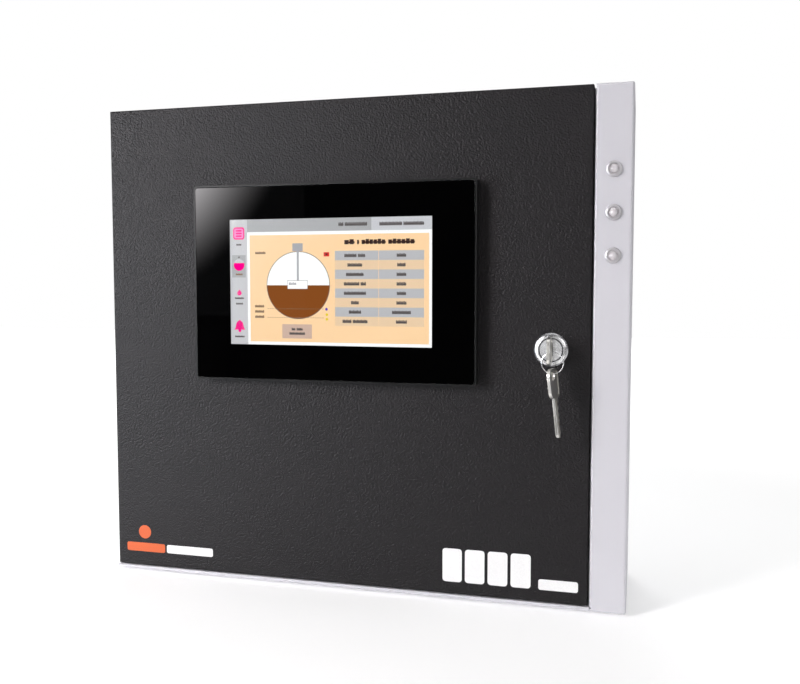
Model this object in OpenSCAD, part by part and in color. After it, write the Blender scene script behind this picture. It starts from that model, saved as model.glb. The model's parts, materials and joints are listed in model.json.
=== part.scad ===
// Wall-mounted sheet-steel controller with a touch display in its hinged door.
// Frame: X to the right, Y into the wall, Z up. The origin is the middle of the back face.

/* [Case] */
// Width of the case
case_w = 384; // [380:1:390]
// Height of the case
case_h = 351; // [348:1:356]
// Depth of the case, from the wall to the front face
case_d = 95; // [93:1:98]
// Thickness of the sheet steel
sheet_t = 1.5; // [1.2:0.1:1.6]
// Outside radius of a fold
fold_r = 2; // [1.5:0.1:2.2]
// Width of the fixed strip to the right of the door
strip_w = 24.3; // [23:0.1:25]
// Height of the folded lip under the door
lip_h = 2.85; // [2.5:0.05:3.2]

/* [Door] */
// Gap between the door and the strip or lip beside it
door_gap = 1.2; // [1:0.1:1.4]
// Depth of the folded rim of the door
door_rim = 12; // [11.5:0.1:12.5]
// Width of the foam seal
seal_w = 9; // [7:0.5:9]

/* [Display] */
// Width of the cover glass
glass_w = 207; // [204:0.5:210]
// Height of the cover glass
glass_h = 138.5; // [136:0.5:141]
// How far the display stands in front of the door
display_proud = 9; // [7:0.1:10]
// Distance of the display's middle from the middle of the case, to the right
display_x = -13.3; // [-16:0.1:-10]
// Height of the display's middle above the middle of the case
display_z = 45.9; // [44:0.1:48]
// Width of the lit area, a 7 inch panel
lit_w = 152.4; // [150:0.1:154]
// Height of the lit area
lit_h = 91.4; // [85:0.1:92]
// How far the panel sits to the left of the glass's middle
panel_left = 1.3; // [0:0.1:2]
// How far the panel sits above the glass's middle
panel_up = 0.7; // [0:0.1:1.5]

/* [Lock] */
// Distance of the lock's axis from the middle of the case, to the right
lock_x = 140.6; // [139:0.1:141]
// Height of the lock's axis
lock_z = 1.4; // [0:0.1:3]
// Radius of the lock's front flange
flange_r = 11.3; // [11:0.1:12]
// Length of a key's bow
bow_l = 18.7; // [18:0.1:19]
// Width of a key's bow
bow_w = 18.2; // [17:0.1:18.4]
// Length of a key's blade
blade_l = 26.5; // [24:0.1:26.5]
// Radius of the key ring, to the middle of its wire
ring_r = 7; // [6.8:0.1:7.2]

/* [Indicators] */
// Height of the top indicator
lamp_top_z = 120; // [110:1:125]
// Distance between indicators
lamp_pitch = 28; // [24:1:30]
// Outside radius of an indicator's ring
lamp_r = 5.3; // [5:0.1:6]

/* [Wall and cables] */
// Distance between the wall holes, side to side
wall_x = 300; // [296:1:304]
// Distance between the wall holes, up and down
wall_z = 304; // [300:1:308]
// Radius of a wall hole
wall_hole_r = 3.5; // [3:0.1:3.5]
// Radius of a cable entry, for a 20 mm gland
entry_r = 10.25; // [10.2:0.05:10.5]
// Distance between cable entries
entry_pitch = 40; // [36:1:42]

/* [Hidden] */
$fn = 48;
eps = 0.01;

left = -case_w / 2;
right = case_w / 2;
top = case_h / 2;
bottom = -case_h / 2;
front = -case_d;
strip_left = right - strip_w;

// Door
door_right = strip_left - door_gap;
door_top = top - 0.3;
door_bottom = bottom + lip_h + 0.8;
door_back = front + door_rim;
door_inside = front + sheet_t;

// Flange behind the door's rim, all round the opening
rim_gap = 1.1;
flange_y = door_back + rim_gap;
flange_back = flange_y + sheet_t;
flange_w = 14;
flange_left_w = 41;
opening_left = left + flange_left_w;
opening_right = strip_left - flange_w;
opening_top = top - flange_w;
opening_bottom = bottom + lip_h + flange_w;

// Hinges: the axis is behind the flange and just inside the left wall
axis_x = left + 6.3;
axis_y = door_back + 12;
hinge_z = 118;
knuckle_h = 16;
knuckle_r = 4;
pin_r = 2;
pin_clearance = 0.06;
ear_t = 3;
ear_gap = 0.3;
pocket_h = 44;

// Seal
seal_left = left + 27;
seal_right = door_right - 2;
seal_top = door_top - 3.2;
seal_bottom = door_bottom + 2.8;
seal_back = flange_y - 0.2;

// Display
display_seal_t = 0.8;
frame_front = front - display_proud;
glass_t = 1.8;
body_w = 200;
body_h = 130;
body_back = -60;
cover_t = 2;
display_board_y = -84;
panel_x = display_x - panel_left;
panel_z = display_z + panel_up;

// Lock
plug_r = 7.42;
plug_bore_r = 7.5;
barrel_r = 9.3;
barrel_flat = 16.6;
lock_face = front - 2.6;
plug_face = front - 3;
barrel_back = front + 25;
cam_t = 2.5;
cam_front = barrel_back + 0.3;
tongue_front = flange_back + 0.7;
tenon = 7;

// Keys
key_t = 2;
key_hole_r = 2;
key_hole_in = 4.6;
blade_w = 7;
bow_start = plug_face - 0.8;
key_hole_y = bow_start - bow_l + key_hole_in;
wire_r = 0.6;
ring_dx = 2.6;
ring_pin_z = lock_z - 0.85;
ring_z = ring_pin_z - sqrt(ring_r * ring_r - ring_dx * ring_dx);
spare_pin_z = ring_z - ring_r;
spare_lean = 6.5;
spare_turn = 12;

// Indicators
lamp_x = right - strip_w / 2;
lamp_hole_r = 4;

// Inside
plate_w = 284;
plate_h = 280;
plate_t = 2;
plate_back = -12;
plate_front = plate_back - plate_t;
stud_x = 132;
stud_z = 130;
rail_z = -85;
rail_w = 35;
rail_l = 270;
rail_front = plate_front - 7.5;
board_w = 230;
board_h = 116;
board_z = 62;
board_back = plate_front - 12;
board_t = 1.6;
board_front = board_back - board_t;
breaker_x = -66;
breaker_w = 17.5;
breaker_nose = -74;
toggle_y = breaker_nose + 4;
entry_y = -45;
gland_w = 184;
gland_d = 62;
gland_t = 1.5;
gland_lap = 7;
gland_z = bottom + sheet_t;
psu_x0 = -124;
psu_x1 = -76;

// The loom from the display's socket, past the hinge side, to the terminals
loom_r = 3.5;
loom_route = [
    [-127.9, -72, 30], [-138, -73, 30], [-144, -78, 25], [-146, -86, 12], [-146, -88, 0],
    [-146, -87, -12], [-146, -82, -28], [-146, -72, -44], [-146, -58, -58], [-146, -42, -68],
    [-146, -30, -80], [-146, -26, -92], [-146, -26, -104], [-146, -27, -120], [-141, -28, -136],
    [-128, -28, -145], [-108, -28, -148], [-80, -28, -148], [-50, -28, -147], [-28, -29, -144],
    [-18, -31, -136], [-16, -33, -127]
];

// The braided strap that earths the door
strap_w = 9;
strap_t = 1.4;
strap_route = [
    [-146, -89.4, -92], [-146, -89.4, -98], [-146, -88, -108], [-146.5, -80, -126],
    [-148, -66, -139], [-151, -50, -145], [-154, -34, -144], [-158, -20, -136],
    [-161, -12, -126], [-163, -8.8, -116], [-164, -7.9, -108], [-164.3, -7.7, -103]
];

// ---------- shared shapes ----------

module block(lo, hi) {
    translate(lo) cube(hi - lo);
}

// What a fold or a ground corner takes off an edge: length along Z, from the corner towards +X +Y
module edge_cutter(length, r) {
    linear_extrude(length) difference() {
        translate([-1, -1]) square(r + 1);
        translate([r, r]) circle(r);
    }
}

// The same along X, from the corner towards +Y +Z
module edge_cutter_x(length, r) {
    rotate([90, 0, 90]) edge_cutter(length, r);
}

module rounded_plate(w, h, t, r) {
    linear_extrude(t) {
        square([w - 2 * r, h], center = true);
        square([w, h - 2 * r], center = true);
        for (sx = [-1, 1], sz = [-1, 1]) {
            translate([sx * (w / 2 - r), sz * (h / 2 - r)]) circle(r);
        }
    }
}

// A rounded plate that stands upright: its middle at [x, z], from depth y0 to y1
module upright_plate(x, z, w, h, y0, y1, r) {
    translate([x, y1, z]) rotate([90, 0, 0]) rounded_plate(w, h, y1 - y0, r);
}

// A cylinder along Y from depth y0 to y1
module rod(x, z, r, y0, y1, n = 48) {
    translate([x, y1, z]) rotate([90, 0, 0]) cylinder(h = y1 - y0, r = r, $fn = n);
}

module hex_nut(x, z, across, hole_r, y0, y1) {
    difference() {
        rod(x, z, across / sqrt(3), y0, y1, 6);
        rod(x, z, hole_r, y0 - 1, y1 + 1);
    }
}

function unit(v) = v / norm(v);
function tangent(p, i) = unit(p[min(i + 1, len(p) - 1)] - p[max(i - 1, 0)]);

// Catmull-Rom curve through a route's points
function spline_point(p, i, u) =
    let (a = p[max(i - 1, 0)], b = p[i], c = p[i + 1], d = p[min(i + 2, len(p) - 1)])
    0.5 * (2 * b + (c - a) * u + (2 * a - 5 * b + 4 * c - d) * u * u
        + (3 * b - a - 3 * c + d) * u * u * u);
function smooth_route(p, steps) = concat(
    [for (i = [0 : len(p) - 2], s = [0 : steps - 1]) spline_point(p, i, s / steps)],
    [p[len(p) - 1]]);

// One cross-section of a swept tube; side is the section's first axis
function section(p, i, side, outline) =
    let (t = tangent(p, i), u = unit(side - (side * t) * t), v = cross(t, u))
    [for (q = outline) p[i] + q[0] * u + q[1] * v];

module sweep(path, side, outline) {
    n = len(outline);
    m = len(path);
    points = [for (i = [0 : m - 1]) each section(path, i, side, outline)];
    walls = [for (i = [0 : m - 2], k = [0 : n - 1])
        let (a = i * n + k, b = i * n + (k + 1) % n)
        each [[a, a + n, b + n], [a, b + n, b]]];
    start_cap = [for (k = [0 : n - 1]) k];
    end_cap = [for (k = [n - 1 : -1 : 0]) (m - 1) * n + k];
    polyhedron(points = points, faces = concat([start_cap, end_cap], walls));
}

// ---------- case ----------

module case_outer() {
    difference() {
        block([left, front, bottom], [right, 0, top]);
        // Folds along the upright edges
        translate([left, 0, bottom - 1]) rotate([0, 0, -90]) edge_cutter(case_h + 2, fold_r);
        translate([right, 0, bottom - 1]) rotate([0, 0, 180]) edge_cutter(case_h + 2, fold_r);
        translate([right, front, bottom - 1]) rotate([0, 0, 90]) edge_cutter(case_h + 2, fold_r);
        // Folds along the level edges
        translate([left - 1, front, bottom]) edge_cutter_x(case_w + 2, fold_r * 0.7);
        translate([left - 1, front, top]) rotate([-90, 0, 0]) edge_cutter_x(case_w + 2, fold_r * 0.7);
        translate([left - 1, 0, bottom]) rotate([90, 0, 0]) edge_cutter_x(case_w + 2, fold_r);
        translate([left - 1, 0, top]) rotate([180, 0, 0]) edge_cutter_x(case_w + 2, fold_r);
        // Ground corners
        for (sx = [0, 1], sz = [0, 1]) {
            mirror([sx, 0, 0]) mirror([0, 0, sz]) translate([left, 1, bottom]) rotate([90, 0, 0])
                edge_cutter(case_d + 2, fold_r * 0.8);
        }
    }
}

// All the folded sheet round the inside: each wall below is the part of it in its own region
module case_form() {
    difference() {
        union() {
            difference() {
                case_outer();
                block([left + sheet_t, front + sheet_t, bottom + sheet_t],
                    [right - sheet_t, -sheet_t, top - sheet_t]);
                // The recess that the door closes into
                block([left - 1, front - 1, bottom + lip_h], [right - strip_w, flange_y, top + 1]);
                // Folds along the left and top walls, behind the door's rim
                translate([left, flange_y, bottom - 1]) edge_cutter(case_h + 2, fold_r);
                translate([left - 1, flange_y, top]) rotate([-90, 0, 0])
                    edge_cutter_x(case_w - strip_w + 1, fold_r);
            }
            // The folded lip under the door
            block([left + fold_r, front + sheet_t, bottom + sheet_t - eps],
                [strip_left + sheet_t, flange_y + eps, bottom + lip_h]);
            // The strip's inner wall
            difference() {
                block([strip_left, front, bottom + sheet_t - eps],
                    [strip_left + sheet_t, flange_y + eps, top - sheet_t + eps]);
                translate([strip_left, front, bottom]) edge_cutter(case_h, fold_r * 0.8);
            }
            // The flange behind the door's rim
            difference() {
                block([left + sheet_t - eps, flange_y, bottom + sheet_t - eps],
                    [strip_left + sheet_t, flange_back, top - sheet_t + eps]);
                block([opening_left, flange_y - 1, opening_bottom],
                    [opening_right, flange_back + 1, opening_top]);
            }
        }
        // The strip's inner edge folds back, so it is rounded too
        translate([strip_left, front, bottom + lip_h]) edge_cutter(case_h, fold_r * 0.8);
    }
}

module case_back() {
    color([0.84, 0.84, 0.87]) difference() {
        block([left + fold_r, -sheet_t, bottom + fold_r], [right - fold_r, 0, top - fold_r]);
        for (sx = [-1, 1], sz = [-1, 1]) {
            rod(sx * wall_x / 2, sz * wall_z / 2, wall_hole_r, -sheet_t - 1, 1);
        }
    }
}

module case_top() {
    color([0.86, 0.86, 0.89]) intersection() {
        case_form();
        union() {
            block([left, front, top - fold_r], [right, 0, top]);
            block([left + fold_r, flange_y, opening_top], [strip_left + sheet_t, flange_back, top]);
        }
    }
}

module case_bottom() {
    color([0.86, 0.86, 0.89]) difference() {
        intersection() {
            case_form();
            union() {
                block([left, front, bottom], [right, 0, bottom + fold_r]);
                block([left + fold_r, front, bottom], [strip_left, flange_y, bottom + lip_h]);
                block([left + fold_r, flange_y, bottom], [strip_left + sheet_t, flange_back, opening_bottom]);
            }
        }
        // The window that the gland plate covers
        block([-gland_w / 2 + gland_lap, entry_y - gland_d / 2 + gland_lap, bottom - 1],
            [gland_w / 2 - gland_lap, entry_y + gland_d / 2 - gland_lap, gland_z + 1]);
        gland_screw_holes();
    }
}

module case_left() {
    color([0.86, 0.86, 0.89]) difference() {
        intersection() {
            case_form();
            union() {
                block([left, front, bottom + fold_r], [left + fold_r, 0, top - fold_r]);
                block([left + fold_r, flange_y, opening_bottom], [opening_left, flange_back, opening_top]);
            }
        }
        // Pockets that the door's hinges swing through
        for (sz = [-1, 1]) {
            block([left + 2.2, flange_y - 1, sz * hinge_z - pocket_h / 2],
                [axis_x + 19, flange_back + 1, sz * hinge_z + pocket_h / 2]);
        }
    }
}

module case_right() {
    color([0.86, 0.86, 0.89]) difference() {
        intersection() {
            case_form();
            union() {
                block([right - fold_r, front, bottom + fold_r], [right, 0, top - fold_r]);
                block([strip_left + sheet_t, front, bottom + fold_r], [right - fold_r, flange_y, top - fold_r]);
                block([strip_left, front, bottom + lip_h], [strip_left + sheet_t, flange_y, top - fold_r]);
                block([opening_right, flange_y, opening_bottom], [strip_left + sheet_t, flange_back, opening_top]);
            }
        }
        for (i = [0 : 2]) {
            rod(lamp_x, lamp_top_z - i * lamp_pitch, lamp_hole_r, front - 1, front + sheet_t + 1);
        }
    }
}

module gland_screw_holes() {
    for (sx = [-1, 1], sy = [-1, 1]) {
        translate([sx * (gland_w - gland_lap) / 2, entry_y + sy * (gland_d - gland_lap) / 2, bottom - 1])
            cylinder(h = 5, r = 1.6);
    }
}

module gland_plate() {
    color([0.75, 0.76, 0.78]) difference() {
        translate([0, entry_y, gland_z]) rounded_plate(gland_w, gland_d, gland_t, 3);
        for (i = [0 : 3]) {
            translate([(i - 1.5) * entry_pitch, entry_y, gland_z - 1]) cylinder(h = gland_t + 2, r = entry_r);
        }
        gland_screw_holes();
    }
}

module gland_screws() {
    color("silver") for (sx = [-1, 1], sy = [-1, 1]) {
        translate([sx * (gland_w - gland_lap) / 2, entry_y + sy * (gland_d - gland_lap) / 2, bottom]) {
            cylinder(h = sheet_t + gland_t, r = 1.55);
            translate([0, 0, sheet_t + gland_t]) cylinder(h = 2, r = 2.9);
        }
    }
}

module case_hinge(z0) {
    ear_z = knuckle_h / 2 + ear_gap;
    wall_in = left + sheet_t;
    color("silver") {
        difference() {
            union() {
                block([wall_in, axis_y + 6, z0 - 20], [wall_in + 2, axis_y + 26, z0 + 20]);
                for (zz = [z0 - ear_z - ear_t, z0 + ear_z]) {
                    translate([axis_x, axis_y, zz]) cylinder(h = ear_t, r = knuckle_r + 0.5);
                    block([wall_in, axis_y, zz], [axis_x + knuckle_r, axis_y + 26, zz + ear_t]);
                }
            }
            translate([axis_x, axis_y, z0 - 30]) cylinder(h = 60, r = pin_r);
        }
    }
}

module case_hinge_upper() { case_hinge(hinge_z); }

module case_hinge_lower() { case_hinge(-hinge_z); }

module hinge_pin(z0) {
    half = knuckle_h / 2 + ear_gap + ear_t;
    color("silver") translate([axis_x, axis_y, z0 - half - 1]) {
        cylinder(h = 2 * half + 1 + eps, r = pin_r);
        translate([0, 0, 2 * half + 1]) cylinder(h = 1.5, r = 3.5);
    }
}

module hinge_pin_upper() { hinge_pin(hinge_z); }

module hinge_pin_lower() { hinge_pin(-hinge_z); }

module blanking_plug(i) {
    x = (i + 0.5) * entry_pitch;
    color([0.08, 0.08, 0.09]) translate([x, entry_y, gland_z]) {
        translate([0, 0, -2.5]) cylinder(h = 2.5, r = entry_r + 3);
        difference() {
            union() {
                cylinder(h = 6.5, r = entry_r);
                translate([0, 0, gland_t]) cylinder(h = 1.5, r = entry_r + 0.8);
            }
            translate([0, 0, 1]) cylinder(h = 10, r = entry_r - 2);
        }
    }
}

module blanking_plug_1() { blanking_plug(0); }

module blanking_plug_2() { blanking_plug(1); }

module case_earth_stud() {
    color([0.78, 0.62, 0.3]) {
        rod(-164.3, -97, 3, -16, -sheet_t);
        rod(-164.3, -97, 6, -7, -sheet_t);
        hex_nut(-164.3, -97, 10, 3, -13.4, -8.4);
    }
}

// ---------- mounting plate and what it carries ----------

module plate_studs() {
    color("silver") for (sx = [-1, 1], sz = [-1, 1]) {
        rod(sx * stud_x, sz * stud_z, 5, plate_back, -sheet_t);
        rod(sx * stud_x, sz * stud_z, 3, plate_front - 9, plate_back);
    }
}

module mounting_plate() {
    color([0.75, 0.76, 0.78]) difference() {
        upright_plate(0, 0, plate_w, plate_h, plate_front, plate_back, 4);
        for (sx = [-1, 1], sz = [-1, 1]) {
            rod(sx * stud_x, sz * stud_z, 3.3, plate_front - 1, plate_back + 1);
        }
    }
}

module plate_nuts() {
    color("silver") for (sx = [-1, 1], sz = [-1, 1]) {
        hex_nut(sx * stud_x, sz * stud_z, 10, 3, plate_front - 6.5, plate_front - 1.5);
        difference() {
            rod(sx * stud_x, sz * stud_z, 7.5, plate_front - 1.5, plate_front);
            rod(sx * stud_x, sz * stud_z, 3, plate_front - 2, plate_front + 1);
        }
    }
}

module din_rail() {
    crest = 27;
    color([0.8, 0.81, 0.83]) difference() {
        union() {
            block([-rail_l / 2, plate_front - 1, rail_z - crest / 2],
                [rail_l / 2, plate_front, rail_z + crest / 2]);
            for (s = [-1, 1]) {
                mirror([0, 0, s > 0 ? 0 : 1]) translate([0, 0, s > 0 ? rail_z : -rail_z]) {
                    block([-rail_l / 2, rail_front, crest / 2 - 1], [rail_l / 2, plate_front, crest / 2]);
                    block([-rail_l / 2, rail_front, crest / 2 - 1], [rail_l / 2, rail_front + 1, rail_w / 2]);
                }
            }
        }
        for (sx = [-1, 1]) rod(sx * 125, rail_z, 2.6, plate_front - 3, plate_front + 1);
    }
}

module rail_screws() {
    color("silver") for (sx = [-1, 1]) {
        rod(sx * 125, rail_z, 2.5, plate_front - 1, plate_front);
        difference() {
            rod(sx * 125, rail_z, 4.5, plate_front - 4, plate_front - 1);
            rod(sx * 125, rail_z, 2, plate_front - 5, plate_front - 2.5, 6);
        }
    }
}

// A case that clips on the rail: its back is clear of the rail's lips
module rail_module(x0, x1, z_half, front_y) {
    difference() {
        block([x0, front_y, rail_z - z_half], [x1, rail_front + 5, rail_z + z_half]);
        block([x0 - 1, rail_front - 0.3, rail_z - rail_w / 2 - 0.3],
            [x1 + 1, rail_front + 6, rail_z + rail_w / 2 + 0.3]);
    }
}

module power_supply() {
    half = 45;
    step = 12;
    color([0.82, 0.83, 0.84]) difference() {
        rail_module(psu_x0, psu_x1, half, -74);
        // Steps for the terminals, top and bottom
        block([psu_x0 - 1, -75, rail_z + half - step], [psu_x1 + 1, -60, rail_z + half + 1]);
        block([psu_x0 - 1, -75, rail_z - half - 1], [psu_x1 + 1, -60, rail_z - half + step]);
        for (s = [-1, 1], i = [0 : 3]) rod(psu_x0 + 6 + i * 12, rail_z + s * 39.5, 2.5, -61, -57);
        // Vent slots in its side
        for (i = [0 : 8]) {
            block([psu_x0 - 1, -68 + i * 4.5, rail_z - 22], [psu_x0 + 2, -66 + i * 4.5, rail_z + 22]);
        }
    }
}

module breaker_case() {
    x0 = breaker_x - breaker_w / 2;
    x1 = breaker_x + breaker_w / 2;
    color([0.88, 0.88, 0.86]) difference() {
        union() {
            rail_module(x0, x1, 42, -66);
            block([x0, breaker_nose, rail_z - 22], [x1, -66 + eps, rail_z + 22]);
        }
        // The well that the toggle turns in
        block([breaker_x - 4, breaker_nose - 1, rail_z - 11], [breaker_x + 4, toggle_y + 6.5, rail_z + 11]);
        for (s = [-1, 1]) rod(breaker_x, rail_z + s * 33, 3, -67, -58);
    }
}

module breaker_toggle() {
    color([0.1, 0.1, 0.12]) translate([breaker_x, toggle_y, rail_z]) rotate([-30, 0, 0]) {
        translate([-3.6, 0, 0]) rotate([0, 90, 0]) cylinder(h = 7.2, r = 4.5);
        block([-3.6, -13, -1.8], [3.6, 0, 1.8]);
    }
}

module terminal_blocks() {
    count = 12;
    pitch = 6.2;
    color([0.62, 0.64, 0.65]) for (i = [0 : count - 1]) {
        x = -44 + i * pitch;
        difference() {
            rail_module(x, x + pitch - 0.25, 24, -52);
            for (s = [-1, 1]) {
                rod(x + pitch / 2 - 0.1, rail_z + s * 13, 1.9, -53, -46);
                block([x - 1, -53, rail_z + (s > 0 ? 18 : -25)], [x + pitch, -44, rail_z + (s > 0 ? 25 : -18)]);
                rod(x + pitch / 2 - 0.1, rail_z + s * 21, 1.7, -45, -38);
            }
        }
    }
}

module terminal_end_stops() {
    color([0.45, 0.46, 0.48]) for (x = [-54.5, 31]) {
        rail_module(x, x + 9.5, 23, -48);
        rod(x + 4.7, rail_z, 2.6, -49.5, -48 + eps);
    }
}

module controller_board() {
    color([0.05, 0.3, 0.16]) difference() {
        upright_plate(0, board_z, board_w, board_h, board_front, board_back, 2);
        for (sx = [-1, 1], sz = [-1, 1]) {
            rod(sx * (board_w / 2 - 6), board_z + sz * (board_h / 2 - 6), 2.1, board_front - 1, board_back + 1);
        }
    }
}

module board_standoffs() {
    color([0.8, 0.66, 0.35]) for (sx = [-1, 1], sz = [-1, 1]) {
        difference() {
            rod(sx * (board_w / 2 - 6), board_z + sz * (board_h / 2 - 6), 4, board_back, plate_front, 6);
            rod(sx * (board_w / 2 - 6), board_z + sz * (board_h / 2 - 6), 2, board_back - 1, board_back + 8);
        }
    }
}

module board_screws() {
    color("silver") for (sx = [-1, 1], sz = [-1, 1]) {
        x = sx * (board_w / 2 - 6);
        z = board_z + sz * (board_h / 2 - 6);
        rod(x, z, 2, board_front, board_back + 7);
        difference() {
            rod(x, z, 3.6, board_front - 2.2, board_front);
            block([x - 3, board_front - 3, z - 0.4], [x + 3, board_front - 1.4, z + 0.4]);
        }
    }
}

module board_parts() {
    y = board_front;
    // Relays, processor, transformer and capacitors stand on the board
    color([0.1, 0.16, 0.4]) for (i = [0 : 3]) {
        block([-95 + i * 22, y - 15, board_z + 20], [-95 + i * 22 + 15.5, y, board_z + 39]);
    }
    color([0.06, 0.06, 0.07]) {
        block([10, y - 1.6, board_z - 8], [34, y, board_z + 16]);
        block([46, y - 1.4, board_z - 4], [58, y, board_z + 12]);
    }
    color([0.95, 0.75, 0.1]) block([-98, y - 20, board_z - 34], [-66, y, board_z - 8]);
    color([0.1, 0.1, 0.12]) for (i = [0 : 2]) rod(-52 + i * 14, board_z - 22, 5, y - 17, y);
    color([0.05, 0.05, 0.06]) for (i = [0 : 2]) {
        block([74, y - 14, board_z - 38 + i * 27], [96, y, board_z - 20 + i * 27]);
    }
}

module board_terminals() {
    y = board_front;
    color([0.1, 0.55, 0.2]) for (side = [-1, 1], i = [0 : 2]) {
        z = board_z + side * (board_h / 2 - 9);
        x = -84 + i * 60;
        difference() {
            block([x, y - 14, z - 5], [x + 46, y, z + 5]);
            for (k = [0 : 8]) rod(x + 3 + k * 5, z, 1.5, y - 15, y - 11);
        }
    }
}

// A saddle clip around the loom, with its axis along Z and its foot beside the mounting plate
module loom_clip(x, y, z, foot_y) {
    foot = 3.6;
    color([0.9, 0.9, 0.86]) difference() {
        union() {
            translate([x, y, z - 5]) cylinder(h = 10, r = loom_r + 2);
            block([x - foot, min(y, foot_y), z - 5], [x + foot, max(y, foot_y), z + 5]);
        }
        translate([x, y, z - 6]) cylinder(h = 12, r = loom_r + 0.5);
    }
}

module case_loom_clip() { loom_clip(-146, -26, -98, -sheet_t); }

module door_loom_clip() { loom_clip(-146, -88, 0, door_inside); }

// ---------- indicators ----------

module lamp_holder(i) {
    z = lamp_top_z - i * lamp_pitch;
    color([0.72, 0.73, 0.76]) translate([lamp_x, front, z]) rotate([90, 0, 0]) difference() {
        union() {
            rotate_extrude() polygon(concat(
                [[0, 0], [lamp_r, 0]],
                [for (a = [0 : 15 : 75]) [lamp_r - 1.3 + 1.3 * cos(a), 0.6 + 1.3 * sin(a)]],
                [[0, 1.9]]));
            translate([0, 0, -16]) cylinder(h = 16, r = lamp_hole_r - 0.1);
        }
        translate([0, 0, -17]) cylinder(h = 20, r = 3.1);
        translate([0, 0, 0.4]) cylinder(h = 3, r = 3.5);
    }
}

module lamp_holder_1() { lamp_holder(0); }

module lamp_holder_2() { lamp_holder(1); }

module lamp_holder_3() { lamp_holder(2); }

module lamp_lens(i) {
    z = lamp_top_z - i * lamp_pitch;
    color([0.95, 0.95, 0.97]) translate([lamp_x, front, z]) rotate([90, 0, 0]) {
        translate([0, 0, -12]) cylinder(h = 13.3, r = 3);
        translate([0, 0, 0.5]) cylinder(h = 0.8, r = 3.4);
        translate([0, 0, 0.6]) intersection() {
            sphere(r = 3);
            translate([0, 0, 0.5]) cylinder(h = 5, r = 4);
        }
    }
}

module lamp_lens_1() { lamp_lens(0); }

module lamp_lens_2() { lamp_lens(1); }

module lamp_lens_3() { lamp_lens(2); }

module lamp_nut(i) {
    z = lamp_top_z - i * lamp_pitch;
    color("silver") hex_nut(lamp_x, z, 11, lamp_hole_r - 0.1, front + sheet_t, front + sheet_t + 3);
}

module lamp_nut_1() { lamp_nut(0); }

module lamp_nut_2() { lamp_nut(1); }

module lamp_nut_3() { lamp_nut(2); }

// ---------- door ----------

module door_panel() {
    w = door_right - left;
    h = door_top - door_bottom;
    color([0.16, 0.155, 0.165]) difference() {
        block([left, front, door_bottom], [door_right, door_back, door_top]);
        block([left + sheet_t, door_inside, door_bottom + sheet_t],
            [door_right - sheet_t, door_back + 1, door_top - sheet_t]);
        // Folds round the face
        translate([left, front, door_bottom - 1]) edge_cutter(h + 2, fold_r);
        translate([door_right, front, door_bottom - 1]) rotate([0, 0, 90]) edge_cutter(h + 2, fold_r * 0.6);
        translate([left - 1, front, door_bottom]) edge_cutter_x(w + 2, fold_r * 0.6);
        translate([left - 1, front, door_top]) rotate([-90, 0, 0]) edge_cutter_x(w + 2, fold_r * 0.6);
        // Ground corners
        for (sx = [0, 1], sz = [0, 1]) {
            translate([(left + door_right) / 2, 0, (door_top + door_bottom) / 2])
                mirror([sx, 0, 0]) mirror([0, 0, sz])
                translate([-w / 2, door_back + 1, -h / 2]) rotate([90, 0, 0])
                edge_cutter(door_rim + 2, fold_r * 0.6);
        }
        // Cut-out for the display's body
        block([display_x - body_w / 2 - 0.5, front - 1, display_z - body_h / 2 - 0.5],
            [display_x + body_w / 2 + 0.5, door_inside + 1, display_z + body_h / 2 + 0.5]);
        // Lock hole, with two flats that stop the barrel turning
        intersection() {
            rod(lock_x, lock_z, barrel_r + 0.15, front - 1, door_inside + 1);
            block([lock_x - barrel_flat / 2 - 0.15, front - 1, lock_z - 12],
                [lock_x + barrel_flat / 2 + 0.15, door_inside + 1, lock_z + 12]);
        }
    }
}

module door_seal() {
    w = seal_right - seal_left;
    h = seal_top - seal_bottom;
    x = (seal_left + seal_right) / 2;
    z = (seal_top + seal_bottom) / 2;
    color([0.2, 0.2, 0.21]) difference() {
        upright_plate(x, z, w, h, door_inside, seal_back, 10);
        upright_plate(x, z, w - 2 * seal_w, h - 2 * seal_w, door_inside - 1, seal_back + 1, 4);
    }
}

module door_hinge(z0) {
    color("silver") {
        difference() {
            union() {
                translate([axis_x, axis_y, z0 - knuckle_h / 2]) cylinder(h = knuckle_h, r = knuckle_r);
                block([axis_x, axis_y + 0.5, z0 - knuckle_h / 2], [axis_x + 17, axis_y + 3.5, z0 + knuckle_h / 2]);
                block([axis_x + 14.5, door_inside, z0 - knuckle_h / 2], [axis_x + 17, axis_y + 3.5, z0 + knuckle_h / 2]);
                block([axis_x - 1.5, door_inside, z0 - 17], [axis_x + 17, door_inside + 2, z0 + 17]);
            }
            translate([axis_x, axis_y, z0 - 20]) cylinder(h = 40, r = pin_r + pin_clearance);
        }
    }
}

module door_hinge_upper() { door_hinge(hinge_z); }

module door_hinge_lower() { door_hinge(-hinge_z); }

module door_earth_stud() {
    color([0.78, 0.62, 0.3]) {
        rod(-146, -86, 3, door_inside, door_inside + 11);
        hex_nut(-146, -86, 10, 3, door_inside + 4.8, door_inside + 9.8);
    }
}

// ---------- display ----------

module display_seal() {
    color([0.1, 0.1, 0.1]) difference() {
        upright_plate(display_x, display_z, glass_w - 1, glass_h - 1, front - display_seal_t, front, 3);
        upright_plate(display_x, display_z, body_w + 2, body_h + 2, front - display_seal_t - 1, front + 1, 2);
    }
}

module display_frame() {
    back = front - display_seal_t;
    glass_back = frame_front + glass_t;
    color([0.09, 0.1, 0.1]) difference() {
        upright_plate(display_x, display_z, glass_w + 2, glass_h + 2, frame_front + 0.2, back, 3);
        // Pocket for the glass, then for the panel behind it
        upright_plate(display_x, display_z, glass_w, glass_h, frame_front - 1, glass_back, 2);
        upright_plate(panel_x, panel_z, 168, 106, frame_front, back + 1, 1);
    }
}

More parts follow.
